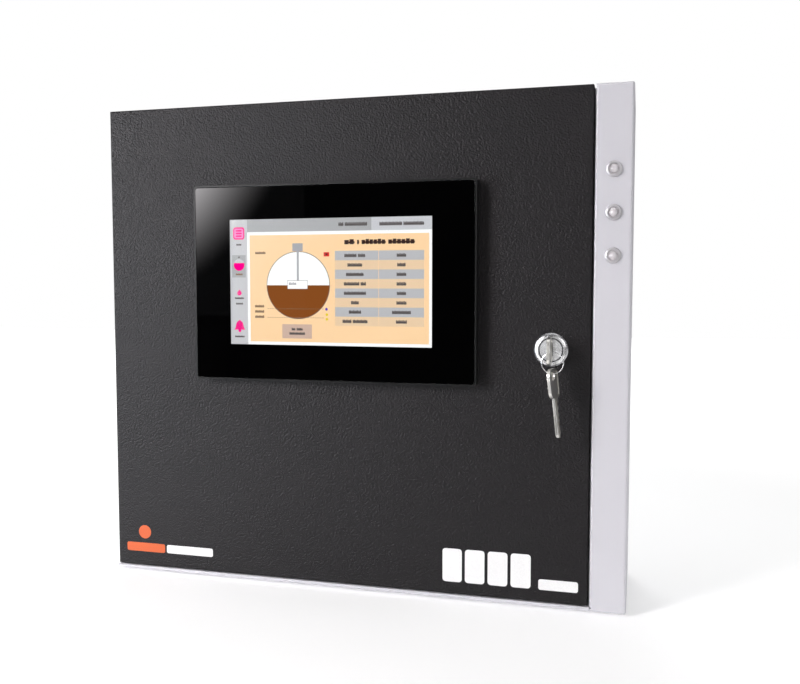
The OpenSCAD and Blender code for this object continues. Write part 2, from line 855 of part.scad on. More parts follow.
module display_glass() {
    color([0.02, 0.02, 0.02]) upright_plate(display_x, display_z, glass_w - 0.4, glass_h - 0.4,
        frame_front, frame_front + glass_t, 2);
}

module display_screen() {
    color([0.95, 0.82, 0.62]) upright_plate(panel_x, panel_z, lit_w + 12, lit_h + 11,
        frame_front + glass_t, frame_front + glass_t + 4.4, 1);
}

module display_board() {
    back = display_board_y + 1.6;
    color([0.05, 0.3, 0.16]) upright_plate(display_x, display_z, 180, 112, display_board_y, back, 1);
    color([0.06, 0.06, 0.07]) {
        block([display_x - 20, back, display_z - 12], [display_x + 4, back + 2, display_z + 12]);
        block([display_x + 25, back, display_z - 30], [display_x + 45, back + 6, display_z - 10]);
    }
}

module display_rear_cover() {
    y0 = front - display_seal_t;
    color([0.13, 0.13, 0.14]) difference() {
        upright_plate(display_x, display_z, body_w, body_h, y0, body_back, 3);
        upright_plate(display_x, display_z, body_w - 2 * cover_t, body_h - 2 * cover_t, y0 - 1, body_back - cover_t, 2);
        // Vents
        for (i = [0 : 13]) {
            block([display_x - 65 + i * 10, body_back - cover_t - 1, display_z + 20],
                [display_x - 60 + i * 10, body_back + 1, display_z + 48]);
        }
        // The socket openings in the left side
        block([display_x - body_w / 2 - 1, -82, 18], [display_x - body_w / 2 + cover_t + 1, -62.5, 54]);
    }
    // Posts that carry the board
    color([0.13, 0.13, 0.14]) for (sx = [-1, 1], sz = [-1, 1]) {
        rod(display_x + sx * 84, display_z + sz * 50, 3, display_board_y + 1.6, body_back - cover_t + eps);
    }
}

module display_sockets() {
    x = display_x - body_w / 2;
    color([0.12, 0.5, 0.22]) difference() {
        block([x - 14, -79, 20.5], [x + 10, -65, 39.5]);
        for (i = [0 : 2]) rod(x - 9, 24.5 + i * 5.5, 1.6, -66, -64);
    }
    color([0.7, 0.71, 0.73]) difference() {
        block([x - 1, -79, 42], [x + 14, -65, 52.5]);
        block([x - 2, -77.5, 43.5], [x + 8, -67, 51]);
    }
}

// Four claws hook over the edge of the display's body and press on the door's inner face
module display_clamps() {
    color([0.16, 0.16, 0.17]) for (sx = [-1, 1], sz = [-1, 1]) {
        x = display_x + sx * 70;
        edge = display_z + sz * body_h / 2;
        difference() {
            mirror([0, 0, sz > 0 ? 0 : 1]) {
                e = sz > 0 ? edge : -edge;
                block([x - 6, -82, e], [x + 6, -70, e + 9]);
            }
            rod(x, edge + sz * 5, 1.6, -84, -69);
        }
    }
}

module clamp_screws() {
    color("silver") for (sx = [-1, 1], sz = [-1, 1]) {
        x = display_x + sx * 70;
        z = display_z + sz * (body_h / 2 + 5);
        rod(x, z, 1.6, door_inside, -70);
        rod(x, z, 2.9, -70, -67.5);
    }
}

// ---------- lock ----------

module lock_barrel() {
    color([0.8, 0.81, 0.82]) difference() {
        union() {
            translate([lock_x, front, lock_z]) rotate([90, 0, 0]) rotate_extrude() polygon([
                [0, 0], [flange_r, 0], [flange_r, 1.1], [flange_r - 0.9, 2.1], [flange_r - 2.4, 2.6], [0, 2.6]]);
            intersection() {
                rod(lock_x, lock_z, barrel_r, front - 0.5, barrel_back);
                block([lock_x - barrel_flat / 2, front - 1, lock_z - 12],
                    [lock_x + barrel_flat / 2, barrel_back + 1, lock_z + 12]);
            }
        }
        rod(lock_x, lock_z, plug_bore_r, lock_face - 1, barrel_back + 1);
    }
}

module lock_nut() {
    color([0.78, 0.79, 0.8]) difference() {
        translate([lock_x, 0, lock_z]) rotate([0, 30, 0]) rod(0, 0, 24 / sqrt(3), door_inside, door_inside + 4, 6);
        rod(lock_x, lock_z, barrel_r, door_inside - 1, door_inside + 5);
    }
}

module lock_plug() {
    color([0.74, 0.75, 0.76]) difference() {
        union() {
            rod(lock_x, lock_z, plug_r, plug_face, barrel_back);
            block([lock_x - tenon / 2, barrel_back - 1, lock_z - tenon / 2],
                [lock_x + tenon / 2, cam_front + cam_t, lock_z + tenon / 2]);
        }
        // Keyway
        block([lock_x - key_t / 2 - 0.3, plug_face - 1, lock_z - blade_w / 2 - 0.3],
            [lock_x + key_t / 2 + 0.3, plug_face + blade_l + 0.6, lock_z + blade_w / 2 + 0.3]);
    }
}

// Cranked cam: it points down when open, and turns behind the flange to lock
module lock_cam() {
    half = 6;
    step_z = lock_z - 14.5;
    color([0.8, 0.8, 0.78]) difference() {
        union() {
            rod(lock_x, lock_z, 8, cam_front, cam_front + cam_t);
            block([lock_x - half, cam_front, step_z], [lock_x + half, cam_front + cam_t, lock_z]);
            block([lock_x - half, tongue_front, step_z], [lock_x + half, cam_front + cam_t, step_z + cam_t]);
            block([lock_x - half, tongue_front, lock_z - 30], [lock_x + half, tongue_front + cam_t, step_z + cam_t]);
        }
        block([lock_x - tenon / 2, cam_front - 1, lock_z - tenon / 2],
            [lock_x + tenon / 2, cam_front + cam_t + 1, lock_z + tenon / 2]);
    }
}

module cam_screw() {
    y = cam_front + cam_t;
    color("silver") difference() {
        rod(lock_x, lock_z, 5, y, y + 3);
        block([lock_x - 4, y + 2, lock_z - 0.6], [lock_x + 4, y + 4, lock_z + 0.6]);
    }
}

// A key in the YZ plane: its shoulder at the origin, its blade along +Y, its bow along -Y
module key_shape() {
    corner = 5;
    cuts = [3.5, 8, 12.5, 17];
    translate([-key_t / 2, 0, 0]) rotate([90, 0, 90]) linear_extrude(key_t) difference() {
        union() {
            translate([-bow_l + corner, -bow_w / 2]) square([bow_l - 2 * corner + 2, bow_w]);
            translate([-bow_l, -bow_w / 2 + corner]) square([bow_l, bow_w - 2 * corner]);
            for (s = [-1, 1]) {
                translate([-bow_l + corner, s * (bow_w / 2 - corner)]) circle(corner);
                translate([-corner + 2, s * (bow_w / 2 - corner)]) intersection() {
                    circle(corner);
                    translate([-10, -10]) square([8 + corner + 0.01, 20]);
                }
            }
            translate([-eps, -blade_w / 2]) polygon([[0, 0], [blade_l - 2, 0], [blade_l, 2],
                [blade_l, blade_w - 3], [blade_l - 3, blade_w], [0, blade_w]]);
        }
        translate([-bow_l + key_hole_in, 0]) circle(key_hole_r);
        for (i = [0 : len(cuts) - 1]) {
            translate([cuts[i] + 1.5, blade_w / 2]) polygon([[-1.6, 0.1], [1.6, 0.1], [0.5, -1 - 0.3 * (i % 3)],
                [-0.5, -1 - 0.3 * (i % 3)]]);
        }
    }
}

module lock_key() {
    color([0.8, 0.79, 0.75]) translate([lock_x, bow_start, lock_z]) key_shape();
}

module key_ring() {
    color([0.78, 0.78, 0.78]) translate([lock_x + ring_dx, key_hole_y, ring_z]) rotate([90, 0, 0])
        rotate_extrude() translate([ring_r, 0]) circle(wire_r, $fn = 24);
}

module spare_key() {
    // The wire passes through the hole's upper part, so the key hangs from it
    drop = key_hole_r - wire_r - 0.2;
    color([0.8, 0.79, 0.75]) translate([lock_x + ring_dx, key_hole_y, spare_pin_z])
        rotate([0, -spare_lean, -spare_turn]) translate([0, 0, -drop]) rotate([-90, 0, 0])
        translate([0, bow_l - key_hole_in, 0]) key_shape();
}

// ---------- what crosses the hinge ----------

module door_loom() {
    outline = [for (a = [0 : 45 : 315]) loom_r * [cos(a), sin(a)]];
    color([0.1, 0.1, 0.11]) sweep(smooth_route(loom_route, 2), [1, 0.3, 0.2], outline);
}

module earth_strap() {
    w = strap_w / 2;
    t = strap_t / 2;
    outline = [[w, -t], [w, t], [-w, t], [-w, -t]];
    color([0.72, 0.5, 0.3]) sweep(smooth_route(strap_route, 3), [1, 0, 0], outline);
}

case_back();
case_top();
case_bottom();
case_left();
case_right();
gland_plate();
gland_screws();
case_hinge_upper();
case_hinge_lower();
hinge_pin_upper();
hinge_pin_lower();
plate_studs();
mounting_plate();
plate_nuts();
din_rail();
rail_screws();
power_supply();
breaker_case();
breaker_toggle();
terminal_blocks();
terminal_end_stops();
controller_board();
board_standoffs();
board_screws();
board_parts();
board_terminals();
blanking_plug_1();
blanking_plug_2();
case_earth_stud();
case_loom_clip();
lamp_holder_1();
lamp_holder_2();
lamp_holder_3();
lamp_lens_1();
lamp_lens_2();
lamp_lens_3();
lamp_nut_1();
lamp_nut_2();
lamp_nut_3();
door_panel();
door_seal();
door_hinge_upper();
door_hinge_lower();
display_seal();
display_frame();
display_glass();
display_screen();
display_board();
display_rear_cover();
display_sockets();
display_clamps();
clamp_screws();
door_earth_stud();
door_loom_clip();
door_loom();
earth_strap();
lock_barrel();
lock_nut();
lock_plug();
lock_cam();
cam_screw();
lock_key();
key_ring();
spare_key();
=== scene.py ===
"""Looks of the wall controller: materials, fine pieces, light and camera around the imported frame.

Metres, in the frame of the CAD part: X to the right, Y into the wall, Z up.
"""

import json
import math
import random

import bmesh
import bpy
from mathutils import Matrix, Vector


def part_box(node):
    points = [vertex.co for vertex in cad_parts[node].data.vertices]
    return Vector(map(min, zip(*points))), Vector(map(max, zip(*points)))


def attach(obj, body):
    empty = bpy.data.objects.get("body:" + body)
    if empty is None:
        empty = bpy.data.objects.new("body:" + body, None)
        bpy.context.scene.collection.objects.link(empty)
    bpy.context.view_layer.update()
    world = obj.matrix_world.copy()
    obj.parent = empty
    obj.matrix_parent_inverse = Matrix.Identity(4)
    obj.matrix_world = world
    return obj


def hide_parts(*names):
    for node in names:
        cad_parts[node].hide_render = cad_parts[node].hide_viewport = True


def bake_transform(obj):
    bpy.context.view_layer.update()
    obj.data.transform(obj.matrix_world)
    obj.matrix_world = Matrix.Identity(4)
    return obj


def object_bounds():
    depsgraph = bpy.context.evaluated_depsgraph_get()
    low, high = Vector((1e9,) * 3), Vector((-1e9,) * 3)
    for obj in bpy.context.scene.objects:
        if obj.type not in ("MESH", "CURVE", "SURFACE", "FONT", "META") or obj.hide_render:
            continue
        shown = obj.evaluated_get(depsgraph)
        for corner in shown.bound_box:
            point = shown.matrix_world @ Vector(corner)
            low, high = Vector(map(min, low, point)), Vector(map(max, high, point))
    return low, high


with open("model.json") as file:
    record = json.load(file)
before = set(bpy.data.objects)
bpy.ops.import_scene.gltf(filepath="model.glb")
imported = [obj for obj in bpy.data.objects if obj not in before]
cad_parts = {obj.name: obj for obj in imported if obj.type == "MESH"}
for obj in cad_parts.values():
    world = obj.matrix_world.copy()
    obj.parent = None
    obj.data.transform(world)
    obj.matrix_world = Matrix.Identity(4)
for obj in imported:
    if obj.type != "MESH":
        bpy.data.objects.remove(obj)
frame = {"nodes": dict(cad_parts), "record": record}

CAD_LOW, CAD_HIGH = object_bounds()
CAD_NODES = frame["nodes"]
MM = 0.001


def new_object(name, data):
    made = bpy.data.objects.new(name, data)
    bpy.context.scene.collection.objects.link(made)
    return made


def aim(thing, way):
    """Points a camera or a light along way."""
    thing.rotation_mode = "QUATERNION"
    thing.rotation_quaternion = Vector(way).to_track_quat("-Z", "Y")


# ---------- camera ----------

CAMERA_AT = (0.19664, -0.68907, 0.04608)
CAMERA_LOOKS = (-0.2610, 0.9630, -0.0670)
CAMERA_LENS = 39.61
SENSOR_WIDTH = 36


def make_camera():
    data = bpy.data.cameras.new("camera")
    data.lens = CAMERA_LENS
    data.sensor_width = SENSOR_WIDTH
    data.clip_start = 0.01
    data.clip_end = 20
    camera = new_object("camera", data)
    camera.location = CAMERA_AT
    aim(camera, CAMERA_LOOKS)
    bpy.context.scene.camera = camera


make_camera()


# ---------- materials ----------

# Most values of a noise lie between these
NOISE_SPAN = (0.3, 0.7)


class Nodes:
    """Shorthands for building a node material."""

    def __init__(self, name):
        self.material = bpy.data.materials.new(name)
        self.material.use_nodes = True
        self.tree = self.material.node_tree
        self.shader = self.tree.nodes["Principled BSDF"]
        self.place = self.add("ShaderNodeTexCoord").outputs["Object"]

    def fill(self, node, sockets):
        """Sets each socket to a value, or links it to another node's socket."""
        for key, value in sockets.items():
            if isinstance(value, bpy.types.NodeSocket):
                self.tree.links.new(value, node.inputs[key])
            else:
                node.inputs[key].default_value = value

    def add(self, kind, sockets=None, **properties):
        node = self.tree.nodes.new(kind)
        for key, value in properties.items():
            setattr(node, key, value)
        self.fill(node, sockets or {})
        return node

    def set(self, **sockets):
        """Fills sockets of the shader, with _ for a space."""
        self.fill(self.shader, {key.replace("_", " "): value for key, value in sockets.items()})
        return self

    def mapped(self, **sockets):
        """Object coordinates, turned or stretched."""
        return self.add("ShaderNodeMapping", {"Vector": self.place, **sockets}).outputs["Vector"]

    def noise(self, scale, detail=4, roughness=0.5, vector=None):
        sockets = {"Scale": scale, "Detail": detail, "Roughness": roughness, "Vector": vector or self.place}
        return self.add("ShaderNodeTexNoise", sockets).outputs["Fac"]

    def cells(self, scale, feature="F1"):
        return self.add("ShaderNodeTexVoronoi", {"Scale": scale, "Vector": self.place}, feature=feature)

    def waves(self, scale, vector):
        sockets = {"Scale": scale, "Vector": vector}
        return self.add("ShaderNodeTexWave", sockets, bands_direction="Z").outputs["Fac"]

    def ramp(self, source, low, high, start, end):
        """Maps source from low..high to start..end, which are numbers or colours."""
        if isinstance(start, (int, float)):
            sockets = {"From Min": low, "From Max": high, "To Min": start, "To Max": end, "Value": source}
            return self.add("ShaderNodeMapRange", sockets).outputs["Result"]
        node = self.add("ShaderNodeValToRGB", {"Fac": source})
        first, last = node.color_ramp.elements
        first.position, first.color = low, (*start, 1)
        last.position, last.color = high, (*end, 1)
        return node.outputs["Color"]

    def maths(self, operation, a, b):
        return self.add("ShaderNodeMath", {0: a, 1: b}, operation=operation).outputs["Value"]

    def distance(self, place):
        """How far place is from the object's own origin."""
        return self.add("ShaderNodeVectorMath", {0: place}, operation="LENGTH").outputs["Value"]

    def colour(self, source, start, end, span=NOISE_SPAN):
        """Base colour from start to end over the span of source."""
        self.set(Base_Color=self.ramp(source, *span, start, end))

    def roughness(self, source, start, end, span=NOISE_SPAN):
        self.set(Roughness=self.ramp(source, *span, start, end))

    def bump(self, height, distance, strength=1.0):
        """Adds to the bumps already there."""
        sockets = {"Strength": strength, "Distance": distance, "Height": height}
        last = self.shader.inputs["Normal"]
        if last.is_linked:
            sockets["Normal"] = last.links[0].from_socket
        self.set(Normal=self.add("ShaderNodeBump", sockets).outputs["Normal"])


def linear(red, green, blue):
    """A colour given in sRGB steps of 0..255, as linear values."""
    def one(value):
        value /= 255
        return value / 12.92 if value <= 0.04045 else ((value + 0.055) / 1.055) ** 2.4
    return one(red), one(green), one(blue)


def case_paint():
    """Fine structured powder coat in light grey."""
    m = Nodes("case_paint")
    grain = m.noise(1800, 3, 0.6)
    broad = m.noise(7, 3)
    m.colour(broad, linear(203, 202, 208), linear(209, 208, 214))
    m.roughness(grain, 0.42, 0.56)
    m.bump(grain, 0.00012, 0.35)
    return m.set(Specular_IOR_Level=0.45).material


def door_paint():
    """Leather-grain powder coat in black."""
    m = Nodes("door_paint")
    pebble = m.cells(860, "SMOOTH_F1").outputs["Distance"]
    fine = m.noise(2600, 2, 0.6)
    broad = m.noise(5, 3)
    m.colour(broad, linear(19, 16, 18), linear(24, 21, 23))
    m.roughness(fine, 0.46, 0.60)
    m.bump(m.maths("MULTIPLY", pebble, -1.0), 0.00060, 0.85)
    m.bump(fine, 0.0001, 0.3)
    return m.set(Specular_IOR_Level=0.25).material


def metal(name, tint, rough, scratches=(30, 900, 30), rough_spread=0.12, depth=0.00004):
    """Bright metal with fine scratches drawn out along one way, and a faint cloudy tarnish."""
    m = Nodes(name)
    lines = m.noise(1, 4, 0.6, m.mapped(Scale=scratches))
    cloud = m.noise(60, 4, 0.55)
    darker = tuple(0.82 * c for c in tint)
    m.colour(cloud, darker, tint, (0.35, 0.65))
    m.roughness(lines, rough, rough + rough_spread)
    m.bump(lines, depth, 0.4)
    return m.set(Metallic=1.0).material


def plastic(name, tint, rough, grain=1500, depth=0.00006, spread=0.12, shine=0.5):
    """Moulded plastic with a fine spark texture and slightly uneven colour."""
    m = Nodes(name)
    texture = m.noise(grain, 3, 0.6)
    cloud = m.noise(25, 3)
    lighter = tuple(min(1, 1.12 * c + 0.002) for c in tint)
    m.colour(cloud, tint, lighter)
    m.roughness(texture, rough, rough + spread)
    m.bump(texture, depth, 0.4)
    return m.set(Specular_IOR_Level=shine).material


def circuit_board():
    """Green solder mask over faint copper tracks, with a grid of pads."""
    m = Nodes("circuit_board")
    upright = m.mapped(Rotation=(math.pi / 2, 0, 0), Scale=(180, 180, 180))
    sockets = {"Scale": 1, "Mortar Size": 0.045, "Color1": (0.010, 0.115, 0.045, 1),
               "Color2": (0.014, 0.135, 0.055, 1), "Mortar": (0.035, 0.24, 0.09, 1), "Vector": upright}
    tracks = m.add("ShaderNodeTexBrick", sockets, offset=0.37, squash=1.6, squash_frequency=3)
    m.set(Base_Color=tracks.outputs["Color"])
    m.roughness(m.noise(300, 2), 0.22, 0.34)
    m.bump(tracks.outputs["Fac"], 0.00005, 0.5)
    return m.material


def seal_foam():
    """Closed-cell foam: small open bubbles over a soft skin."""
    m = Nodes("seal_foam")
    bubbles = m.cells(1400).outputs["Distance"]
    # Painted shade: the colour darkens in the open bubbles, where shade falls in the pits
    m.colour(bubbles, (0.020, 0.020, 0.022), (0.050, 0.050, 0.053), (0.1, 0.7))
    m.roughness(bubbles, 0.95, 0.8, (0.1, 0.7))
    m.bump(bubbles, 0.0003, 0.6)
    return m.set(Specular_IOR_Level=0.25).material


def galvanised():
    """Zinc coat with its flat crystals."""
    m = Nodes("galvanised")
    tone = m.add("ShaderNodeSeparateColor", {"Color": m.cells(190).outputs["Color"]})
    m.colour(tone.outputs["Red"], (0.50, 0.515, 0.53), (0.60, 0.61, 0.63), (0.1, 0.9))
    m.roughness(tone.outputs["Green"], 0.30, 0.48, (0, 1))
    m.bump(m.noise(900, 3), 0.00003, 0.3)
    return m.set(Metallic=0.9).material


def black_print():
    """Black print under the cover glass: deep, even and glossy, with the faintest dust."""
    m = Nodes("black_print")
    dust = m.noise(900, 2, 0.7)
    m.colour(dust, (0.0012, 0.0013, 0.0014), (0.0035, 0.0037, 0.004), (0.45, 0.85))
    m.roughness(m.noise(40, 3), 0.035, 0.075)
    return m.set(Specular_IOR_Level=0.0).material


def glossy_black():
    """The front of the black border: deep black with a clean gloss."""
    m = Nodes("glossy_black")
    smear = m.noise(24, 3)
    m.colour(smear, (0.0004, 0.0004, 0.0005), (0.0007, 0.0007, 0.0008))
    m.roughness(smear, 0.02, 0.035)
    return m.set(Specular_IOR_Level=0.45).material


def clear_glass():
    """Clear glass with the faintest green."""
    m = Nodes("cover_glass")
    tint = (0.985, 0.997, 0.992)
    smear = m.noise(30, 3)
    m.colour(smear, tint, tuple(0.99 * c for c in tint))
    return m.set(Transmission_Weight=1.0, Roughness=0.0, IOR=1.45).material


def lamp_lens():
    """Water-white moulded lens over a pale diffuser."""
    m = Nodes("lamp_lens")
    rings = m.noise(700, 2)
    m.colour(rings, (0.60, 0.57, 0.59), (0.68, 0.65, 0.67))
    m.roughness(rings, 0.16, 0.26)
    m.bump(rings, 0.00005, 0.3)
    return m.set(Coat_Weight=0.3, Coat_Roughness=0.08, Subsurface_Weight=0.35,
                 Subsurface_Radius=(0.002, 0.002, 0.002)).material


PIXEL_ROWS = 700
PIXEL_GAP_DIM = 0.97


def lit(name, colour, strength=1.0):
    """A patch of the lit display: pixel rows show as the faintest grid."""
    m = Nodes(name)
    rows = m.waves(PIXEL_ROWS, m.place)
    dim = tuple(PIXEL_GAP_DIM * c for c in colour)
    m.colour(rows, (0.01,) * 3, (0.012,) * 3, (0, 1))
    glow = m.ramp(rows, 0, 1, dim, colour)
    return m.set(Emission_Color=glow, Emission_Strength=strength, Roughness=0.4).material


def braid(name, tint, rough, metallic=0.0, pitch=420):
    """Fine crossing strands, as on a sleeve or an earth braid."""
    m = Nodes(name)
    strands = [m.waves(pitch, m.mapped(Rotation=(turn, turn, 0))) for turn in (0.7, -0.7)]
    height = m.maths("MAXIMUM", *strands)
    # Painted shade: the colour darkens between the strands, where the gaps fall into shade
    m.colour(height, tuple(0.45 * c for c in tint), tint, (0.2, 1.0))
    m.roughness(height, rough + 0.2, rough, (0.2, 1.0))
    m.bump(height, 0.0003, 0.8)
    return m.set(Metallic=metallic).material


# Tint and roughness, then the scale of the scratches, the spread of the roughness and the depth
METALS = {
    "zinc_steel": ((0.60, 0.61, 0.63), 0.26),
    "brass": ((0.72, 0.50, 0.20), 0.24),
    "lamp_ring": ((0.66, 0.64, 0.66), 0.42, (900, 30, 900), 0.1, 0.000006),
    "lock_metal": ((0.86, 0.86, 0.88), 0.24, (300, 60, 300), 0.06, 0.000004),
    "key_nickel": ((0.86, 0.84, 0.79), 0.27, (40, 40, 400), 0.08, 0.000004),
    "ring_wire": ((0.80, 0.80, 0.80), 0.2, (60, 60, 60), 0.08, 0.000004),
}
# Tint and roughness, then the scale of the grain, its depth, the spread of the roughness and the shine
PLASTICS = {
    "grey_plastic": ((0.40, 0.41, 0.43), 0.45),
    "white_plastic": ((0.72, 0.72, 0.69), 0.4),
    "black_plastic": ((0.018, 0.018, 0.020), 0.42),
    "component_black": ((0.020, 0.020, 0.022), 0.36, 900),
    "terminal_green": ((0.030, 0.30, 0.075), 0.36),
    "display_black": ((0.006, 0.0065, 0.0065), 0.34, 1300, 0.00003, 0.08, 0.25),
}
MATERIALS = {
    "case_paint": case_paint(),
    "door_paint": door_paint(),
    "galvanised_sheet": galvanised(),
    "circuit_board": circuit_board(),
    "lamp_lens": lamp_lens(),
    "seal_foam": seal_foam(),
    "display_glass": black_print(),
    "screen": lit("screen", (0.9, 0.9, 0.9)),
    "cable_black": braid("cable_black", (0.028, 0.028, 0.030), 0.5),
    "braid_copper": braid("braid_copper", (0.66, 0.56, 0.47), 0.35, 1.0, 900),
    **{name: metal(name, *values) for name, values in METALS.items()},
    **{name: plastic(name, *values) for name, values in PLASTICS.items()},
}


def dress_cad_nodes():
    for part in frame["record"]["subparts"]:
        mesh = CAD_NODES[part["node"]].data
        mesh.materials.clear()
        mesh.materials.append(MATERIALS[part["material_slot"]])


dress_cad_nodes()


# ---------- mesh tools ----------

BEVEL_ANGLE = math.radians(40)


class Piece:
    """A mesh under construction. All sizes are in millimetres; make() turns it into an object."""

    def __init__(self):
        self.bm = bmesh.new()

    def prism(self, outline, normal, low, high, holes=()):
        """A plate: outline and holes are points across normal, which is X, Y or Z."""
        order = {"X": lambda a, b, c: (c, a, b),
                 "Y": lambda a, b, c: (a, c, b),
                 "Z": lambda a, b, c: (a, b, c)}[normal]
        loops = [list(outline), *[list(h) for h in holes]]
        caps = []
        for depth in (low, high):
            rings = [[self.bm.verts.new(order(a, b, depth)) for a, b in loop] for loop in loops]
            edges = [self.bm.edges.new((ring[i], ring[i - 1])) for ring in rings for i in range(len(ring))]
            if len(loops) == 1:
                self.bm.faces.new(rings[0])
            else:
                bmesh.ops.triangle_fill(self.bm, use_beauty=True, use_dissolve=False, edges=edges)
            caps.append(rings)
        for first, second in zip(*caps):
            for i in range(len(first)):
                self.bm.faces.new((first[i - 1], first[i], second[i], second[i - 1]))
        return self

    def box(self, low, high):
        (x0, y0, z0), (x1, y1, z1) = low, high
        return self.prism([(x0, y0), (x1, y0), (x1, y1), (x0, y1)], "Z", z0, z1)

    def lathe(self, profile, at, steps):
        """Turns a closed profile of (radius, distance along Y) about the line along Y through at."""
        rings = []
        for radius, along in profile:
            if radius < 1e-6:
                rings.append([self.bm.verts.new((0, 0, along))])
            else:
                angles = [2 * math.pi * k / steps for k in range(steps)]
                rings.append([self.bm.verts.new((radius * math.cos(a), radius * math.sin(a), along))
                              for a in angles])
        for i in range(len(rings)):
            first, second = rings[i - 1], rings[i]
            if len(first) == 1 and len(second) == 1:
                continue
            for k in range(steps):
                n = (k + 1) % steps
                if len(first) == 1:
                    self.bm.faces.new((first[0], second[n], second[k]))
                elif len(second) == 1:
                    self.bm.faces.new((first[k], first[n], second[0]))
                else:
                    self.bm.faces.new((first[k], first[n], second[n], second[k]))
        z_to_y = Matrix.Rotation(-math.pi / 2, 4, "X")
        made = [v for ring in rings for v in ring]
        bmesh.ops.transform(self.bm, matrix=Matrix.Translation(at) @ z_to_y, verts=made)
        return self

    def tube(self, route, radius, sides=12, flat=1.0, side=None, rib=None):
        """Sweeps a round section, or one that flat thins across side. rib(i) scales it at the route's point i."""
        points = [Vector(p) for p in route]
        count = len(points)
        tangents = [(points[min(i + 1, count - 1)] - points[max(i - 1, 0)]).normalized()
                    for i in range(count)]
        across = Vector(side or (1, 0.3, 0.2))
        rings = []
        for i, (p, t) in enumerate(zip(points, tangents)):
            across = (across - across.dot(t) * t).normalized()
            if side:
                across = (Vector(side) - Vector(side).dot(t) * t).normalized()
            up = t.cross(across)
            r = radius * (rib(i) if rib else 1)
            rings.append([self.bm.verts.new(p + r * (math.cos(a) * across + flat * math.sin(a) * up))
                          for a in (2 * math.pi * k / sides for k in range(sides))])
        for first, second in zip(rings, rings[1:]):
            for k in range(sides):
                n = (k + 1) % sides
                self.bm.faces.new((first[k], first[n], second[n], second[k]))
        self.bm.faces.new(rings[0])
        self.bm.faces.new(rings[-1])
        return self

    def move(self, matrix):
        bmesh.ops.transform(self.bm, matrix=matrix, verts=self.bm.verts[:])
        return self

    def make(self, name, slot, body=None, bevel=0.0, segments=2, replaces=(), smooth=35, material=None):
        """Makes the object. Edges sharper than smooth, in degrees, stay crisp."""
        bmesh.ops.recalc_face_normals(self.bm, faces=self.bm.faces[:])
        self.bm.transform(Matrix.Scale(MM, 4))
        mesh = bpy.data.meshes.new(name)
        self.bm.to_mesh(mesh)
        self.bm.free()
        mesh.materials.append(material or MATERIALS[slot])
        piece = new_object(name, mesh)
        if bevel:
            edge = piece.modifiers.new("edges", "BEVEL")
            edge.width = bevel * MM
            edge.segments = segments
            edge.limit_method = "ANGLE"
            edge.angle_limit = BEVEL_ANGLE
        mesh.shade_smooth()
        mesh.set_sharp_from_angle(angle=math.radians(smooth))
        if body:
            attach(piece, body)
        if replaces:
            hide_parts(*replaces)
        return piece


def circle(x, z, radius, steps=40, start=0.0, sweep=360.0):
    """Points on a circle, or on an arc of sweep degrees from start."""
    last = steps if sweep >= 360 else steps + 1
    angles = [math.radians(start + sweep * k / steps) for k in range(last)]
    return [(x + radius * math.cos(a), z + radius * math.sin(a)) for a in angles]


def rounded(x0, z0, x1, z1, radius, steps=6):
    points = []
    for cx, cz, start in ((x1 - radius, z1 - radius, 0), (x0 + radius, z1 - radius, 90),
                          (x0 + radius, z0 + radius, 180), (x1 - radius, z0 + radius, 270)):
        points += circle(cx, cz, radius, steps, start, 90)
    return points


def smooth_route(points, steps):
    """Catmull-Rom curve through points, as in the CAD."""
    route = []
    p = [Vector(q) for q in points]
    for i in range(len(p) - 1):
        a, b, c, d = p[max(i - 1, 0)], p[i], p[i + 1], p[min(i + 2, len(p) - 1)]
        for s in range(steps):
            u = s / steps
            route.append(0.5 * (2 * b + (c - a) * u + (2 * a - 5 * b + 4 * c - d) * u * u
                                + (3 * b - a - 3 * c + d) * u ** 3))
    return route + [p[-1]]


def box_mm(node):
    """A CAD node's lowest and highest corner, in millimetres."""
    lowest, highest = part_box(node)
    return lowest / MM, highest / MM


# ---------- display ----------

GLASS_LOW, GLASS_HIGH = box_mm("display_glass")
PANEL_LOW, PANEL_HIGH = box_mm("display_screen")
WINDOW_W, WINDOW_H, WINDOW_R = 150.4, 89.8, 0.4
WINDOW_X = (PANEL_LOW.x + PANEL_HIGH.x) / 2 - WINDOW_W / 2
WINDOW_Z = (PANEL_LOW.z + PANEL_HIGH.z) / 2 + WINDOW_H / 2
GLASS_CORNER_R, GLASS_BEVEL = 2, 0.35
PRINT_T, PRINT_EDGE = 0.12, 0.15
LAYER = 0.03


def spot(u, v):
    """A place on the lit picture: u from its left edge, v from its top edge, both 0..1."""
    return WINDOW_X + u * WINDOW_W, WINDOW_Z - v * WINDOW_H


